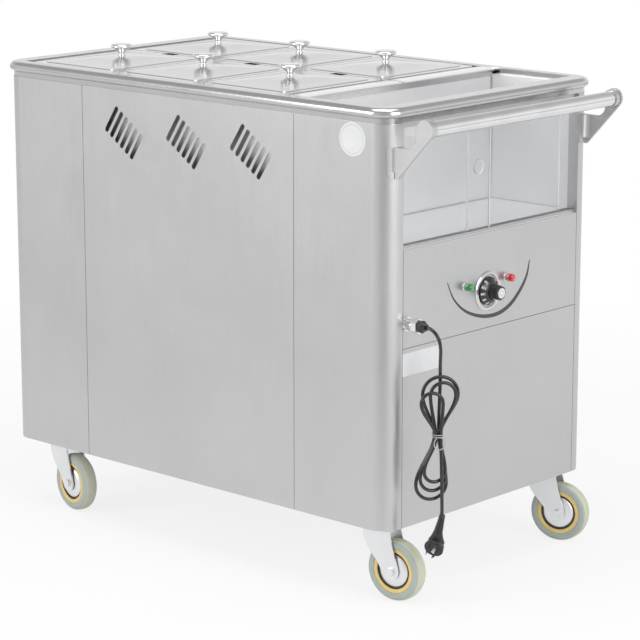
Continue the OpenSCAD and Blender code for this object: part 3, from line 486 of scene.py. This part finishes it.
# the free run from the gland to the hank
UPPER = [(580, -265, 570), (600, -265, 570), (606, -265, 569.7), (612, -265, 568.2),
         (618.3, -264.8, 565), (624, -264, 559.8), (628, -262.6, 553), (630, -260.6, 544.5),
         (629.8, -258, 534.5), (628, -255, 524.5), (625.3, -252, 514.5), (622.4, -249, 504),
         (620, -246.4, 493)]
# each loop's reach from the tie, the radius of its round end and its lean to one side
TOP_FOLDS = [(116, 35, 6), (106, 25, 10), (88, 21.5, -13)]
LOW_FOLDS = [(132, 31, -10), (112, 26, -8), (92, 21.5, -6)]
# the first and last strands: along the hank's face, layer in pitches, height over the tie
START = [(7, -1.5, 124), (7, -1.5, 117), (6.8, -1.5, 92), (6, -1.5, 66), (5.2, -1.5, 40),
         (WAIST, -1.5, 18)]
END = [(WAIST, 1.5, 0), (5, 1.6, -18), (5.5, 1.75, -38), (6, 1.9, -60), (6.5, 2, -84),
       (7, 2, -106), (7.5, 1.9, -128), (8, 1.8, -148), (8, 1.8, -155), (8, 1.8, -162)]


def eased(t):
    return t * t * (3 - 2 * t)


def fold(spec, side, way, n0, n1):
    """One loop from the tie and back: up (way 1) or down (-1), from layer n0 to layer n1.

    side says on which side of the hank it sets out, and spec is its line in the tables above.
    """
    height, r, lean = spec
    leg = height - r
    out = []
    for i in range(LEG):
        t = i / LEG
        out.append((side * (WAIST + (r - WAIST) * eased(t)) + lean * eased(t), n0, way * leg * t))
    for i in range(ARC + 1):
        a = math.pi * i / ARC
        out.append((side * r * math.cos(a) + lean, n0 + (n1 - n0) * eased(i / ARC),
                    way * (leg + r * math.sin(a))))
    for i in range(1, LEG):
        t = 1 - i / LEG
        out.append((-side * (WAIST + (r - WAIST) * eased(t)) + lean * eased(t), n1, way * leg * t))
    return out


def hank_local():
    out = [(s, n * PITCH, z) for s, n, z in START]
    for j in range(3):
        out += fold(LOW_FOLDS[j], 1, -1, (j - 1.5) * PITCH, (j - 0.5) * PITCH)
        out += fold(TOP_FOLDS[j], -1, 1, (j - 0.5) * PITCH, (j - 0.5) * PITCH)
    return out + [(s, n * PITCH, z) for s, n, z in END]


def hank_point(s, n, z):
    c, k = math.cos(HANK_TURN), math.sin(HANK_TURN)
    return at(*(HANK_AT + Vector((s * k + n * c, s * c - n * k, z))))


def make_cord():
    nodes = [at(*p) for p in UPPER] + [hank_point(*q) for q in hank_local()]
    line = smooth_line(nodes, 4)
    curve = bpy.data.curves.new("mains_cord", "CURVE")
    curve.dimensions = "3D"
    spline = curve.splines.new("POLY")
    spline.points.add(len(line) - 1)
    for p, q in zip(spline.points, line, strict=True):
        p.co = (*q, 1)
    spline.use_smooth = True
    curve.bevel_depth = CORD_R * MM
    curve.bevel_resolution = 6
    curve.use_fill_caps = True
    curve.materials.append(MATS["cord"])
    obj = link("mains_cord", curve)
    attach(obj, "cabinet")
    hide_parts("cord_upper", "cord_hank")
    return obj


cord = make_cord()


def make_tie():
    """A thin coated wire wound twice round the hank's waist, its end bent into an open ring."""
    bm = bmesh.new()
    half_n, half_s = 1.5 * PITCH + CORD_R + 1.2, WAIST + CORD_R + 1.2
    for level in (-2.0, 2.2):
        path = []
        for i in range(41):
            a = TAU * i / 40
            k = (abs(math.cos(a)) ** 3 + abs(math.sin(a)) ** 3) ** (-1 / 3)
            path.append(hank_point(half_s * k * math.cos(a), half_n * k * math.sin(a),
                                   level + 1.6 * math.sin(a)))
        tube(bm, path, TIE_R, caps=False)
    ring = []
    for i in range(37):
        a = math.radians(100 - 340 * i / 36)
        ring.append(hank_point(1.0 + 10.5 * math.cos(a), half_n + 1.2 + 0.8 * math.sin(a),
                               -12.5 + 12.5 * math.sin(a)))
    tube(bm, smooth_line(ring, 2), TIE_R)
    return piece("cord_twist_tie", bm, ["tie"], "cabinet", ["cord_tie"])


tie = make_tie()

PLUG_TOP = hank_point(*hank_local()[-1])
RELIEF_DIR = Vector((-0.0925, -0.248, -0.964)).normalized()
FACE_DIR = Vector((0.27, -0.87, -0.41)).normalized()
BODY_DOWN = 61.6        # from the relief's end to the middle of the plug's round body
RIBS, RIB_STEP = 8, 3.6
PIN_SIZE, PIN_OUT, PIN_FROM_MIDDLE = (1.6, 6.6, 18.5), 13.5, 9.2


def make_plug():
    """A moulded plug: a ribbed relief that swells into a round body, its flat pins facing out."""
    bm = bmesh.new()
    centre = PLUG_TOP + RELIEF_DIR * BODY_DOWN * MM
    relief = [(3.9, -5), (5.4, -5)]
    for i in range(RIBS):
        h = 1.0 + i * RIB_STEP
        r = 6.3 + i * 0.34
        relief += [(r, h), (r + 0.3, h + 0.4), (r + 0.3, h + 1.8), (r - 0.9, h + 2.2),
                   (r - 0.8, h + 3.3)]
    relief += [(9.3, 30.2), (9.6, 32)]
    lathe(bm, PLUG_TOP, RELIEF_DIR, relief, 40)
    # the shoulder flows from the relief's round end into the body's rim
    axis, u, v = frame_of(FACE_DIR, RELIEF_DIR)
    _, thick, broad = frame_of(RELIEF_DIR, -axis)
    rings = []
    for k in range(9):
        t = k / 8
        middle = PLUG_TOP + RELIEF_DIR * (31.5 + 22 * t) * MM - axis * 5.5 * eased(t) * MM
        deep, wide = 9.6 + 0.6 * t, 9.6 + 7.6 * t ** 1.3
        rings.append([middle + (thick * math.cos(q) * deep + broad * math.sin(q) * wide) * MM
                      for q in angles(48)])
    loft(bm, rings)
    body = [(0, -18.6), (6, -18.2), (11, -16.4), (15, -12.8), (17.4, -8), (18.5, -2), (19.1, 2.0),
            (19.6, 2.8), (19.6, 4.2), (19.2, 4.9), (18.4, 5.1), (17.8, 4.5), (0, 4.5)]
    lathe(bm, centre, FACE_DIR, body, 64)
    for turn in (30, 150, 270):
        out = spoke(u, v, math.radians(turn))
        slab(bm, centre + out * PIN_FROM_MIDDLE * MM + axis * PIN_OUT * MM,
             (out, axis.cross(out), axis), PIN_SIZE, 0.5, 1)
    return piece("moulded_plug", bm, ["plug", "brass"], "cabinet", ["plug"],
                 40, False)


plug = make_plug()

# ---------------------------------------------------------------- lids

LID_L, LID_W, BORDER, CROWN = 247.0, 295.0, 19.0, 12.5
CROWN_TOP = 32.5        # width of the crown's flat middle, under the knob
RING_POINTS = 96
# the black strip under each ladle notch, painted shade: its size, and how far it lies from the pan's
# middle
SLOT_SIZE, SLOT_FROM_MIDDLE = (34, 8.6, 0.2), 142.6
# (radius, height) of the knob over the crown: a foot, a neck and a flared top
KNOB = [
    (0, 0), (9.5, 0), (9.3, 0.8), (8.2, 1.8), (6.9, 3.1), (6.1, 4.6), (6.7, 6.4), (8.8, 8.4),
    (12.2, 11.1), (16.4, 14.0), (20.0, 16.2), (22.2, 17.6), (23.2, 18.8), (23.45, 20.0),
    (23.1, 21.5), (22.0, 22.9), (20.3, 23.9), (17.6, 24.5), (12, 24.8), (6, 24.95), (0, 25.0)]


def rounded_rect(l, w, r, z):
    """Points round a rectangle with round corners, spaced so that rings of all sizes line up."""
    out = []
    per = RING_POINTS // 4
    corners = [(sx * (l / 2 - r), sy * (w / 2 - r))
               for sx, sy in ((1, 1), (-1, 1), (-1, -1), (1, -1))]
    for q, (cx, cy) in enumerate(corners):
        end = math.radians(90 * (q + 1))
        ex, ey = r * math.cos(end), r * math.sin(end)
        nx, ny = corners[(q + 1) % 4]
        for i in range(per):
            # the first half of the points turns the corner, the second half runs to the next one
            t = 2 * i / per
            if t < 1:
                a = math.radians(90 * q + 90 * t)
                out.append((cx + r * math.cos(a), cy + r * math.sin(a), z))
            else:
                out.append((cx + ex + (nx - cx) * (t - 1), cy + ey + (ny - cy) * (t - 1), z))
    return out


def notched(ring, side):
    """Moves the points in the middle of one long edge so that they follow the ladle notch."""
    first = RING_POINTS // 8 if side > 0 else RING_POINTS * 5 // 8
    out = list(ring)
    for k, x, deep in ((4, 17.6, 0), (5, 17.5, 9), (6, 0, 9), (7, -17.5, 9), (8, -17.6, 0)):
        _, y, z = ring[first + k]
        out[first + k] = (x * side, y - side * deep, z)
    return out


def make_lid(n):
    """A pressed sheet with a flat border, a low crown, a ladle notch and a flared knob."""
    low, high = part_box(f"lid_{n}")
    pan_low, pan_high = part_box(f"pan_{n}")
    cx, cy, z0 = (low.x + high.x) / 2, (pan_low.y + pan_high.y) / 2, low.z
    side = 1 if n <= 3 else -1
    base_l, base_w = LID_L - 2 * BORDER, LID_W - 2 * BORDER
    top_l, top_w = base_l * 0.22 + 48, base_w * 0.26 + 48

    def skin(bm, rings):
        return loft(bm, [[Vector((cx + x * MM, cy + y * MM, z0 + z * MM)) for x, y, z in ring]
                         for ring in rings], caps=False)

    rings = [notched(rounded_rect(LID_L, LID_W, 10, 0), side),
             notched(rounded_rect(LID_L, LID_W, 10, 0.9), side),
             notched(rounded_rect(LID_L - 0.8, LID_W - 0.8, 9.6, 1.2), side),
             notched(rounded_rect(LID_L - 2, LID_W - 2, 9, 1.2), side),
             rounded_rect(base_l + 4, base_w + 4, 8, 1.2),
             rounded_rect(base_l + 1.5, base_w + 1.5, 7, 1.25),
             rounded_rect(base_l, base_w, 6.5, 1.6),
             rounded_rect(base_l - 1.2, base_w - 1.2, 6, 2.5)]
    # the crown's slopes, then its round top
    for t in (0.02, 0.06, *(i / 8 for i in range(1, 9))):
        rings.append(rounded_rect(
            base_l - 1.2 + (top_l - base_l) * t, base_w - 1.2 + (top_w - base_w) * t, 6 + 18 * t,
            2.5 + (CROWN - 2.7 - 2.5) * (t - 0.05 * math.sin(math.pi * t))))
    for t in (0.25, 0.5, 0.75, 1.0):
        rings.append(rounded_rect(
            top_l + (CROWN_TOP - top_l) * t, top_w + (CROWN_TOP - top_w) * t, 24 - 8 * t,
            CROWN - 2.7 + 3.1 * t * (1.3 - 0.3 * t)))
    bm = bmesh.new()
    bm.faces.new(skin(bm, rings)[-1])
    # the sheet's underside, so that a lifted lid is closed from below
    inner = [notched(rounded_rect(LID_L, LID_W, 10, 0), side),
             rounded_rect(base_l - 2, base_w - 2, 6, 0.0),
             rounded_rect(base_l - 4, base_w - 4, 6, 1.2),
             rounded_rect(top_l, top_w, 22, CROWN - 4.2),
             rounded_rect(30, 30, 14.5, CROWN - 1.4)]
    bm.faces.new(list(reversed(skin(bm, inner)[-1])))
    bmesh.ops.remove_doubles(bm, verts=bm.verts, dist=WELD)
    lathe(bm, Vector((cx, cy, z0 + (CROWN + 0.45) * MM)), PLUS_Z, KNOB, 64, 1)
    # a black strip on the pan's flange under the ladle notch: painted shade, so that the notch looks
    # dark
    slot = bmesh.new()
    slab(slot, Vector((cx, cy + side * SLOT_FROM_MIDDLE * MM, z0 - 0.17 * MM)), AXES, SLOT_SIZE)
    piece(f"ladle_slot_painted_shadow_{n}", slot, ["slot"], f"food_pan_{n}")
    piece(f"lid_sheet_{n}", bm, ["lid", "knob"], f"food_lid_{n}", [f"lid_{n}"], 38)


for n in range(1, 7):
    make_lid(n)

# ---------------------------------------------------------------- casters

SWIVELS = {1: 6.0, 2: 17.5, 3: -9.0, 4: 8.0}      # how far each caster is turned, in degrees
WHEEL_R, WHEEL_HALF = 63.5, 16.0
# half of the tyre's section from its bead to the tread: radius, and how far in from the side face
TYRE_SIDE = [(46.55, 0.6), (48, 0.1), (50, 0.0), (55.5, 0.3), (56.6, 0.5), (58.2, 1.2), (60.4, 3.0),
             (61.8, 5.4), (62.6, 7.6), (WHEEL_R - 0.35, 11.5)]
TYRE_ZONES = [0] * 6 + [1] * 8 + [0] * 7
# the hub's face from its rim inwards: radius, and how far it stands out from the side face
HUB_FACE = [(46.5, -WHEEL_HALF), (46.5, -1.6), (45.9, -0.9), (44.5, -0.6), (41.0, -0.7), (39.0, -1.2),
            (38.2, -2.4), (37.6, -5.2), (34.4, -5.4), (34.0, -4.6), (33.4, -3.6), (31.5, -2.3),
            (27.5, -0.8), (22.0, 0.4), (16.0, 1.1), (12.5, 1.3), (11.4, 1.0), (5.1, 1.0)]
# the hub's zones: yellow rim, the groove painted near-black as shade, and the zinc dome
HUB_ZONES = [0] * 6 + [1] * 3 + [2] * 8


def make_wheel(n):
    """A tyre with a paler tread on a two-tone hub, whose groove is painted near-black as shade."""
    low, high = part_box(f"tyre_{n}")
    centre = (low + high) / 2
    turn = math.radians(SWIVELS[n])
    axle = Vector((math.sin(turn), -math.cos(turn), 0))
    near = [(r, deep - WHEEL_HALF) for r, deep in TYRE_SIDE]
    far = [(r, -h) for r, h in reversed(near)]
    bm = bmesh.new()
    lathe(bm, centre, axle, [*near, (WHEEL_R, 0), *far, near[0]], 96, mats=TYRE_ZONES)
    piece(f"tyre_body_{n}", bm, ["tyre", "tread"], f"wheel_{n}", [f"tyre_{n}"], 28)
    bm = bmesh.new()
    for s in (-1, 1):
        lathe(bm, centre, axle * s, [(r, h + WHEEL_HALF) for r, h in HUB_FACE], 96, mats=HUB_ZONES)
    bmesh.ops.remove_doubles(bm, verts=bm.verts, dist=WELD)
    piece(f"hub_face_{n}", bm, ["ring", "hub_groove_shade", "fork"], f"wheel_{n}",
          [f"hub_{n}"], 30)


for n in range(1, 5):
    make_wheel(n)

# ---------------------------------------------------------------- clear doors

HOLE_R, HOLE_IN, HOLE_UP = 15.0, 36.5, 132.0      # finger hole: radius, from the edge, over the sill
HOLE_SIDES = 48
EDGE_DEEP, EDGE_IN = 2.4, 1.3     # a door's near-white edge strip, painted highlight of the light its edge catches: its depth, and from the rim to its middle
PAD_SIZE, PAD_Y, PAD_Z = (1.4, 32, 17), -251.0, 944.5
FAR = 9                 # metres, further than any edge of a door is from its hole


def reach(low, high, step):
    """How many steps lead from 0 to the limit, low or high, that lies that way."""
    if abs(step) < 1e-9:
        return FAR
    return (high if step > 0 else low) / step


def make_door(name, node, body, side):
    """A clear sheet with a round finger hole near one upright edge, the one that side points from.
    Its cut edges and the hole's wall are painted near-white as a highlight.
    """
    low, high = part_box(node)
    bm = bmesh.new()
    y0, y1, z0, z1 = low.y, high.y, low.z, high.z
    hy = (y0 if side > 0 else y1) + side * HOLE_IN * MM
    hz = (SILL_Z + HOLE_UP) * MM
    rim, outer = [], []
    for a in angles(HOLE_SIDES):
        c, s = math.cos(a), math.sin(a)
        rim.append((hy + HOLE_R * MM * c, hz + HOLE_R * MM * s))
        k = min(reach(y0 - hy, y1 - hy, c), reach(z0 - hz, z1 - hz, s))
        outer.append((hy + k * c, hz + k * s))
    corners = [(y1, z1), (y0, z1), (y0, z0), (y1, z0)]
    headings = [math.atan2(z - hz, y - hy) % TAU for y, z in corners]

    def corners_after(i):
        """The sheet's corners that lie between the hole's directions i and i + 1."""
        start, stop = TAU * i / HOLE_SIDES, TAU * (i + 1) / HOLE_SIDES
        return [k for k, t in enumerate(headings) if start < t < stop]

    faces = [[[bm.verts.new((x, y, z)) for y, z in line] for line in (rim, outer, corners)]
             for x in (low.x, high.x)]
    for a, b, c in faces:
        for i in range(HOLE_SIDES):
            j = (i + 1) % HOLE_SIDES
            bm.faces.new([a[i], a[j], b[j], *(c[k] for k in corners_after(i)), b[i]])
    (a0, b0, c0), (a1, b1, c1) = faces
    # the hole's wall and the sheet's rim take the near-white edge material, a painted highlight
    for i in range(HOLE_SIDES):
        j = (i + 1) % HOLE_SIDES
        chain = [(b0[i], b1[i]), *((c0[k], c1[k]) for k in corners_after(i)), (b0[j], b1[j])]
        walls = [(p, r, s, q) for (p, q), (r, s) in zip(chain, chain[1:])]
        for wall in [(a0[i], a0[j], a1[j], a1[i]), *walls]:
            bm.faces.new(wall).material_index = 1
    bmesh.ops.recalc_face_normals(bm, faces=bm.faces)
    # near-white strips along the upright edges, a little inside the sheet: painted highlight of the
    # light caught in the cut edges
    for y in (y0 + EDGE_IN * MM, y1 - EDGE_IN * MM):
        slab(bm, Vector(((low.x + high.x) / 2, y, (z0 + z1) / 2)), AXES,
             ((high.x - low.x) / MM - 0.2, EDGE_DEEP, (z1 - z0) / MM - 0.4), mat=1)
    piece(name, bm, ["acrylic", "edge"], body, [node], 30, False)


make_door("left_door_sheet", "door_left", "left_door", -1)
make_door("right_door_sheet", "door_right", "right_door", 1)


def make_pad():
    """The pale pad stuck on the left-hand door, to push it by."""
    bm = bmesh.new()
    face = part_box("door_left")[1].x
    middle = Vector((face + PAD_SIZE[0] / 2 * MM, PAD_Y * MM, PAD_Z * MM))
    slab(bm, middle, AXES, PAD_SIZE, 0.5)
    piece("door_push_pad", bm, ["pad"], "left_door")


make_pad()

# ---------------------------------------------------------------- controls

DIAL = (END_X, -14.5, 596.0)
GRIP_SIDES, GRIP_POINTS, GRIP_R = 8, 192, 15.6
CAP_AT = 35.8           # the cap's face along x, just clear of the grip's end
MARKS, FIRST_MARK, MARK_STEP = 11, 36, 28.8       # the scale's marks, their angles in degrees
CONE = Vector((11.3 - 5.2, 0, 22.0 - 29.2)).normalized()      # up the skirt's cone: along x, outwards
NUMBER_SIZE = 6.6


def off_axis(centre, along, r, a):
    """The point that is along from centre on x and r away from that line, at angle a from the top."""
    return centre + Vector((along * MM, r * MM * math.sin(a), r * MM * math.cos(a)))


def at_mark(i):
    """Directions at one mark of the scale: outwards, round the dial, up the cone, off the cone."""
    a = math.radians(FIRST_MARK + MARK_STEP * i)
    out = Vector((0, math.sin(a), math.cos(a)))
    side = Vector((0, math.cos(a), -math.sin(a)))
    up = (PLUS_X * CONE.x + out * CONE.z).normalized()
    normal = side.cross(up)
    return out, side, up, normal if normal.x > 0 else -normal


def make_knob(centre):
    """A stepped knob: a coned skirt, a fluted grip and a bright cap with six dark dots."""
    bm = bmesh.new()
    lathe(bm, centre, PLUS_X, [
        (0, 2.7), (29.2, 2.7), (29.8, 3.1), (29.9, 4.2), (29.2, 5.2), (22.0, 11.3), (18.5, 12.9),
        (16.5, 13.6)], 96)
    rings = []
    for h, grow in ((13.4, 0.6), (14.6, 0.1), (22, -0.2), (32.2, -0.7), (34.2, -1.5), (35.2, -3.2)):
        ring = []
        for a in angles(GRIP_POINTS):
            part = (a * GRIP_SIDES / TAU) % 1 - 0.5
            r = (GRIP_R + grow) / math.cos(part * TAU / GRIP_SIDES * 0.92) - 0.5
            ring.append(off_axis(centre, h, r, a))
        rings.append(ring)
    loft(bm, rings)
    lathe(bm, centre, PLUS_X, [
        (10.4, 35.0), (10.3, 35.7), (9.9, CAP_AT + 0.15), (9.4, CAP_AT), (0, CAP_AT)], 48, 1)
    for i in range(6):
        lathe(bm, off_axis(centre, CAP_AT, 5.2, math.radians(60 * i + 15)), PLUS_X,
              [(1.1, 0), (1.0, 0.06), (0, 0.08)], 16)
    piece("dial_knob_body", bm, ["black", "cap"], "dial", ["dial_knob"], 30, False)


def make_number(i, centre):
    """One plain number of the scale, which reads outwards from the grip."""
    name = f"dial_number_{i}"
    out, _, up_cone, normal = at_mark(i)
    right = -up_cone
    data = bpy.data.curves.new(name, "FONT")
    data.body = "0" if i == 0 else str(20 + 10 * i)
    data.size = NUMBER_SIZE * MM
    data.align_x, data.align_y = "CENTER", "CENTER"
    data.extrude, data.offset = 0.12 * MM, 0.16 * MM
    temp = link(name, data)
    mesh = bpy.data.meshes.new_from_object(temp.evaluated_get(bpy.context.evaluated_depsgraph_get()))
    bpy.data.objects.remove(temp)
    place = centre + (PLUS_X * 8.55 + out * 25.25) * MM + normal * 0.1 * MM
    turn = Matrix((right, normal.cross(right), normal)).transposed().to_4x4()
    mesh.transform(Matrix.Translation(place) @ turn)
    mesh.materials.clear()
    mesh.materials.append(MATS["print"])
    obj = link(name, mesh)
    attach(obj, "dial")


def make_dial():
    """The knob, with a scale of short ticks and plain numbers round its cone."""
    centre = at(*DIAL)
    make_knob(centre)
    bm = bmesh.new()
    for i in range(MARKS):
        out, side, up, normal = at_mark(i)
        tick = centre + (PLUS_X * 5.9 + out * 28.45) * MM + normal * 0.05 * MM
        slab(bm, tick, (side, up, normal), (0.8, 1.5, 0.3))
    piece("dial_scale_ticks", bm, ["print"], "dial")
    for i in range(MARKS):
        make_number(i, centre)


make_dial()

LAMP_Z = 615.5
# (along x, radius) of a lamp: a pale base, then the lens and its domed end
LAMP = [(0.2, 7.5), (5.0, 7.8), (5.4, 8.4), (16.4, 8.1), (18.2, 6.9), (19.5, 4.0), (19.9, 1.6)]


def make_lamp(name, node, y, mat):
    """A faceted tinted lens that stands on a pale clear base in a thin bright collar."""
    centre = at(END_X, y, LAMP_Z)
    bm = bmesh.new()
    rings = [[off_axis(centre, h, r * (1 - 0.05 * (1 - abs(math.cos(a * 5)))), a) for a in angles(72)]
             for h, r in LAMP]
    loft(bm, rings, mats=[3, 3, 0, 0, 0, 0])
    lathe(bm, centre, PLUS_X, [
        (9.0, 0), (9.0, 1.2), (8.6, 1.8), (7.9, 2.2), (7.5, 2.0), (7.5, 0)], 64, 1)
    lathe(bm, centre, PLUS_X, [(0, -14.5), (4.9, -14.5), (4.9, 0)], 32, 2)
    piece(name, bm, [mat, "chrome", "black", "clear_base"], "cabinet", [node], 22, False)


make_lamp("green_lamp_lens", "lamp_green", -86.5, "green")
make_lamp("red_lamp_lens", "lamp_red", 45, "red")

# (y, z) of points along the middle of the arc
ARC_SPOTS = [(-143, 633), (-123, 597), (-91, 569), (-54, 552.5), (-16, 544), (24, 544.5), (58, 556),
             (85, 576), (102, 594), (113, 612), (120, 640)]


def make_arc():
    """A thin black crescent under the dial, thickest low on its right."""
    line = smooth_line([Vector((0, y, z)) for y, z in ARC_SPOTS], 8)
    bm = bmesh.new()
    rings = []
    last = len(line) - 1
    for i, p in enumerate(line):
        t = (line[min(i + 1, last)] - line[max(i - 1, 0)]).normalized()
        across = Vector((0, t.z, -t.y))
        k = i / last
        wide = 1.6 + 8.6 * math.sin(math.pi * k) ** 0.7 * (0.5 + 0.6 * k)
        a, b = p + across * wide / 2, p - across * wide / 2
        rings.append([at(END_X + x, q.y, q.z)
                      for q, x in ((a, -0.2), (a, 0.25), (p, 0.45), (b, 0.25), (b, -0.2))])
    loft(bm, rings)
    piece("control_arc", bm, ["arc"], "cabinet")


make_arc()

FILM = 0.25             # thickness of a stuck-on plate


def film(name, centre, size, radius, mat, axis="x", border=None):
    """A thin blank plate with round corners, facing the handle end (x) or the front side (y)."""
    bm = bmesh.new()

    def outline(by, h):
        """The plate's outline, drawn in by a little and raised by h from the panel."""
        out = []
        for s, t, _ in rounded_rect(size[0] - 2 * by, size[1] - 2 * by, max(radius - by, 0.2), 0):
            offset = (h, s, t) if axis == "x" else (s, -h, t)
            out.append(at(*(c + d for c, d in zip(centre, offset, strict=True))))
        return out

    rings = [outline(0, -0.1), outline(0, FILM * 0.7), outline(0.3, FILM)]
    zones = [0, 0]
    if border:
        rings += [outline(border + by, FILM) for by in (0, 1.4, 1.5)]
        zones += [0, 1, 0]
    loft(bm, rings, mats=zones)
    piece(name, bm, [mat, "disc_ring"], "cabinet")


film("blank_rating_plate", (END_X, -218, 488), (118, 46), 2.5, "plate")
film("blank_round_disc", (459.7, -SIDE_Y, 930.7), (67, 67), 33.4, "disc", "y", 4.5)

# ---------------------------------------------------------------- storage well beads

BEAD_R = 1.5


def make_beads():
    """Bright weld beads, a little wavy, along the storage well's inner corners."""
    bm = bmesh.new()
    back, front, side = 314.0, 543.0, 285.0
    floor, top = SILL_Z + 2.5, 979.0
    runs = [((back, -side - 1, floor), (back, side + 1, floor)),
            ((back - 1, -side, floor), (front, -side, floor)),
            ((back - 1, side, floor), (front, side, floor)),
            ((back, -side, floor - 1), (back, -side, top)),
            ((back, side, floor - 1), (back, side, top))]
    for a, b in runs:
        a, b = at(*a), at(*b)
        tube(bm, [a + (b - a) * (i / 40) for i in range(41)],
             lambda t: BEAD_R + 0.12 * math.sin(t * 160))
    piece("well_corner_beads", bm, ["bar"], "cabinet")


make_beads()

# ---------------------------------------------------------------- stage and light

FLOOR_SIZE, FADE_FROM, FADE_TO = 3, 1.0, 2.6      # metres; the floor melts away between the last two
FLOOR_GLOW, MIRROR_GLOW = 0.80, 0.62    # the floor's own light as seen directly and in mirrors
AMBIENT = 0.62          # the surroundings' strength as a light
HORIZON = 0.55          # how much a thin band at eye level darkens in mirrors
WHITE = (1, 1, 1, 1)


def make_stage():
    """A pale floor that takes the shadow and melts into the white surroundings further out."""
    bm = bmesh.new()
    bmesh.ops.create_grid(bm, x_segments=2, y_segments=2, size=FLOOR_SIZE)
    mesh = bpy.data.meshes.new("studio_floor")
    bm.to_mesh(mesh)
    bm.free()
    floor = link("studio_floor", mesh)
    g = Graph("pale_floor")
    speck = g.noise(3.0, 3.0, 0.5)
    g.set(Base_Color=g.mixed(g.ranged(speck, 0, 1), (0.84, 0.84, 0.84), (0.86, 0.86, 0.86)))
    g.set(Roughness=g.ranged(speck, 0.6, 0.7), Specular_IOR_Level=0.0)
    seen, glossy = g.seen_rays()
    glow = g.add("ShaderNodeEmission", {"Color": WHITE, "Strength": 1.0})
    share = g.sum(g.times(seen, FLOOR_GLOW), g.times(glossy, MIRROR_GLOW - FLOOR_GLOW))
    pale = g.add("ShaderNodeMixShader", {0: share, 1: g.shader.outputs[0], 2: glow.outputs[0]})
    away = g.add("ShaderNodeVectorMath", {0: g.coords}, operation="LENGTH").outputs["Value"]
    fade = g.times(g.eased(away, FADE_FROM, FADE_TO), seen)
    through = g.add("ShaderNodeBsdfTransparent")
    out = g.add("ShaderNodeMixShader", {0: fade, 1: pale.outputs[0], 2: through.outputs[0]})
    g.tree.links.new(out.outputs[0], g.tree.nodes["Material Output"].inputs[0])
    mesh.materials.append(g.mat)


def make_world():
    """White to the eye and through glass; in metal, a bright room with a darker top and front."""
    world = bpy.data.worlds.new("studio")
    bpy.context.scene.world = world
    world.use_nodes = True
    world.node_tree.nodes.clear()
    g = Nodes(world.node_tree)

    def towards(direction):
        node = g.add("ShaderNodeVectorMath", {0: way, 1: direction}, operation="DOT_PRODUCT")
        return node.outputs["Value"]

    def mixed(factor, a, b):
        return g.add("ShaderNodeMixShader", {0: factor, 1: a, 2: b}).outputs[0]

    def light(colour, strength):
        return g.add("ShaderNodeBackground", {0: colour, 1: strength}).outputs[0]

    way = g.add("ShaderNodeTexCoord").outputs["Generated"]
    height = g.add("ShaderNodeSeparateXYZ", {0: way}).outputs[2]
    front = towards((0.62, -0.78, 0.0))
    right = towards((0.90, 0.43, 0.0))
    band = g.maths("MULTIPLY", g.eased(height, -0.11, -0.07, 0.0, HORIZON),
                   g.eased(height, -0.03, 0.01, 1.0, 0.0))
    level = g.maths("SUBTRACT", g.eased(height, 0.20, 0.62, 1.0, 0.56), band)
    level = g.maths("MULTIPLY", level, g.eased(front, 0.80, 0.99, 1.0, 0.62))
    level = g.maths("MULTIPLY", level, g.eased(right, -0.9, 0.9, 0.90, 1.06))
    seen, glossy = g.seen_rays()
    direct = mixed(seen, light((0.97, 0.98, 1.0, 1), AMBIENT), light(WHITE, 1.0))
    g.add("ShaderNodeOutputWorld", {0: mixed(glossy, direct, light(WHITE, level))})


def add_light(name, place, target, size, power):
    data = bpy.data.lights.new(name, "AREA")
    data.shape = "RECTANGLE"
    data.size, data.size_y = size
    data.energy = power
    lamp = link(name, data)
    lamp.location = place
    lamp.rotation_mode = "QUATERNION"
    lamp.rotation_quaternion = (Vector(target) - Vector(place)).to_track_quat("-Z", "Y")


make_stage()
make_world()
add_light("top_softbox", (0.2, -0.4, 4.2), (0, 0, 0.6), (3.2, 2.6), 60)
add_light("left_softbox", (-1.8, -4.0, 2.2), (0, 0, 0.6), (2.2, 2.4), 60)
add_light("right_softbox", (4.0, -0.6, 2.0), (0, 0, 0.6), (2.2, 2.4), 55)

bpy.context.scene.view_settings.view_transform = "Standard"
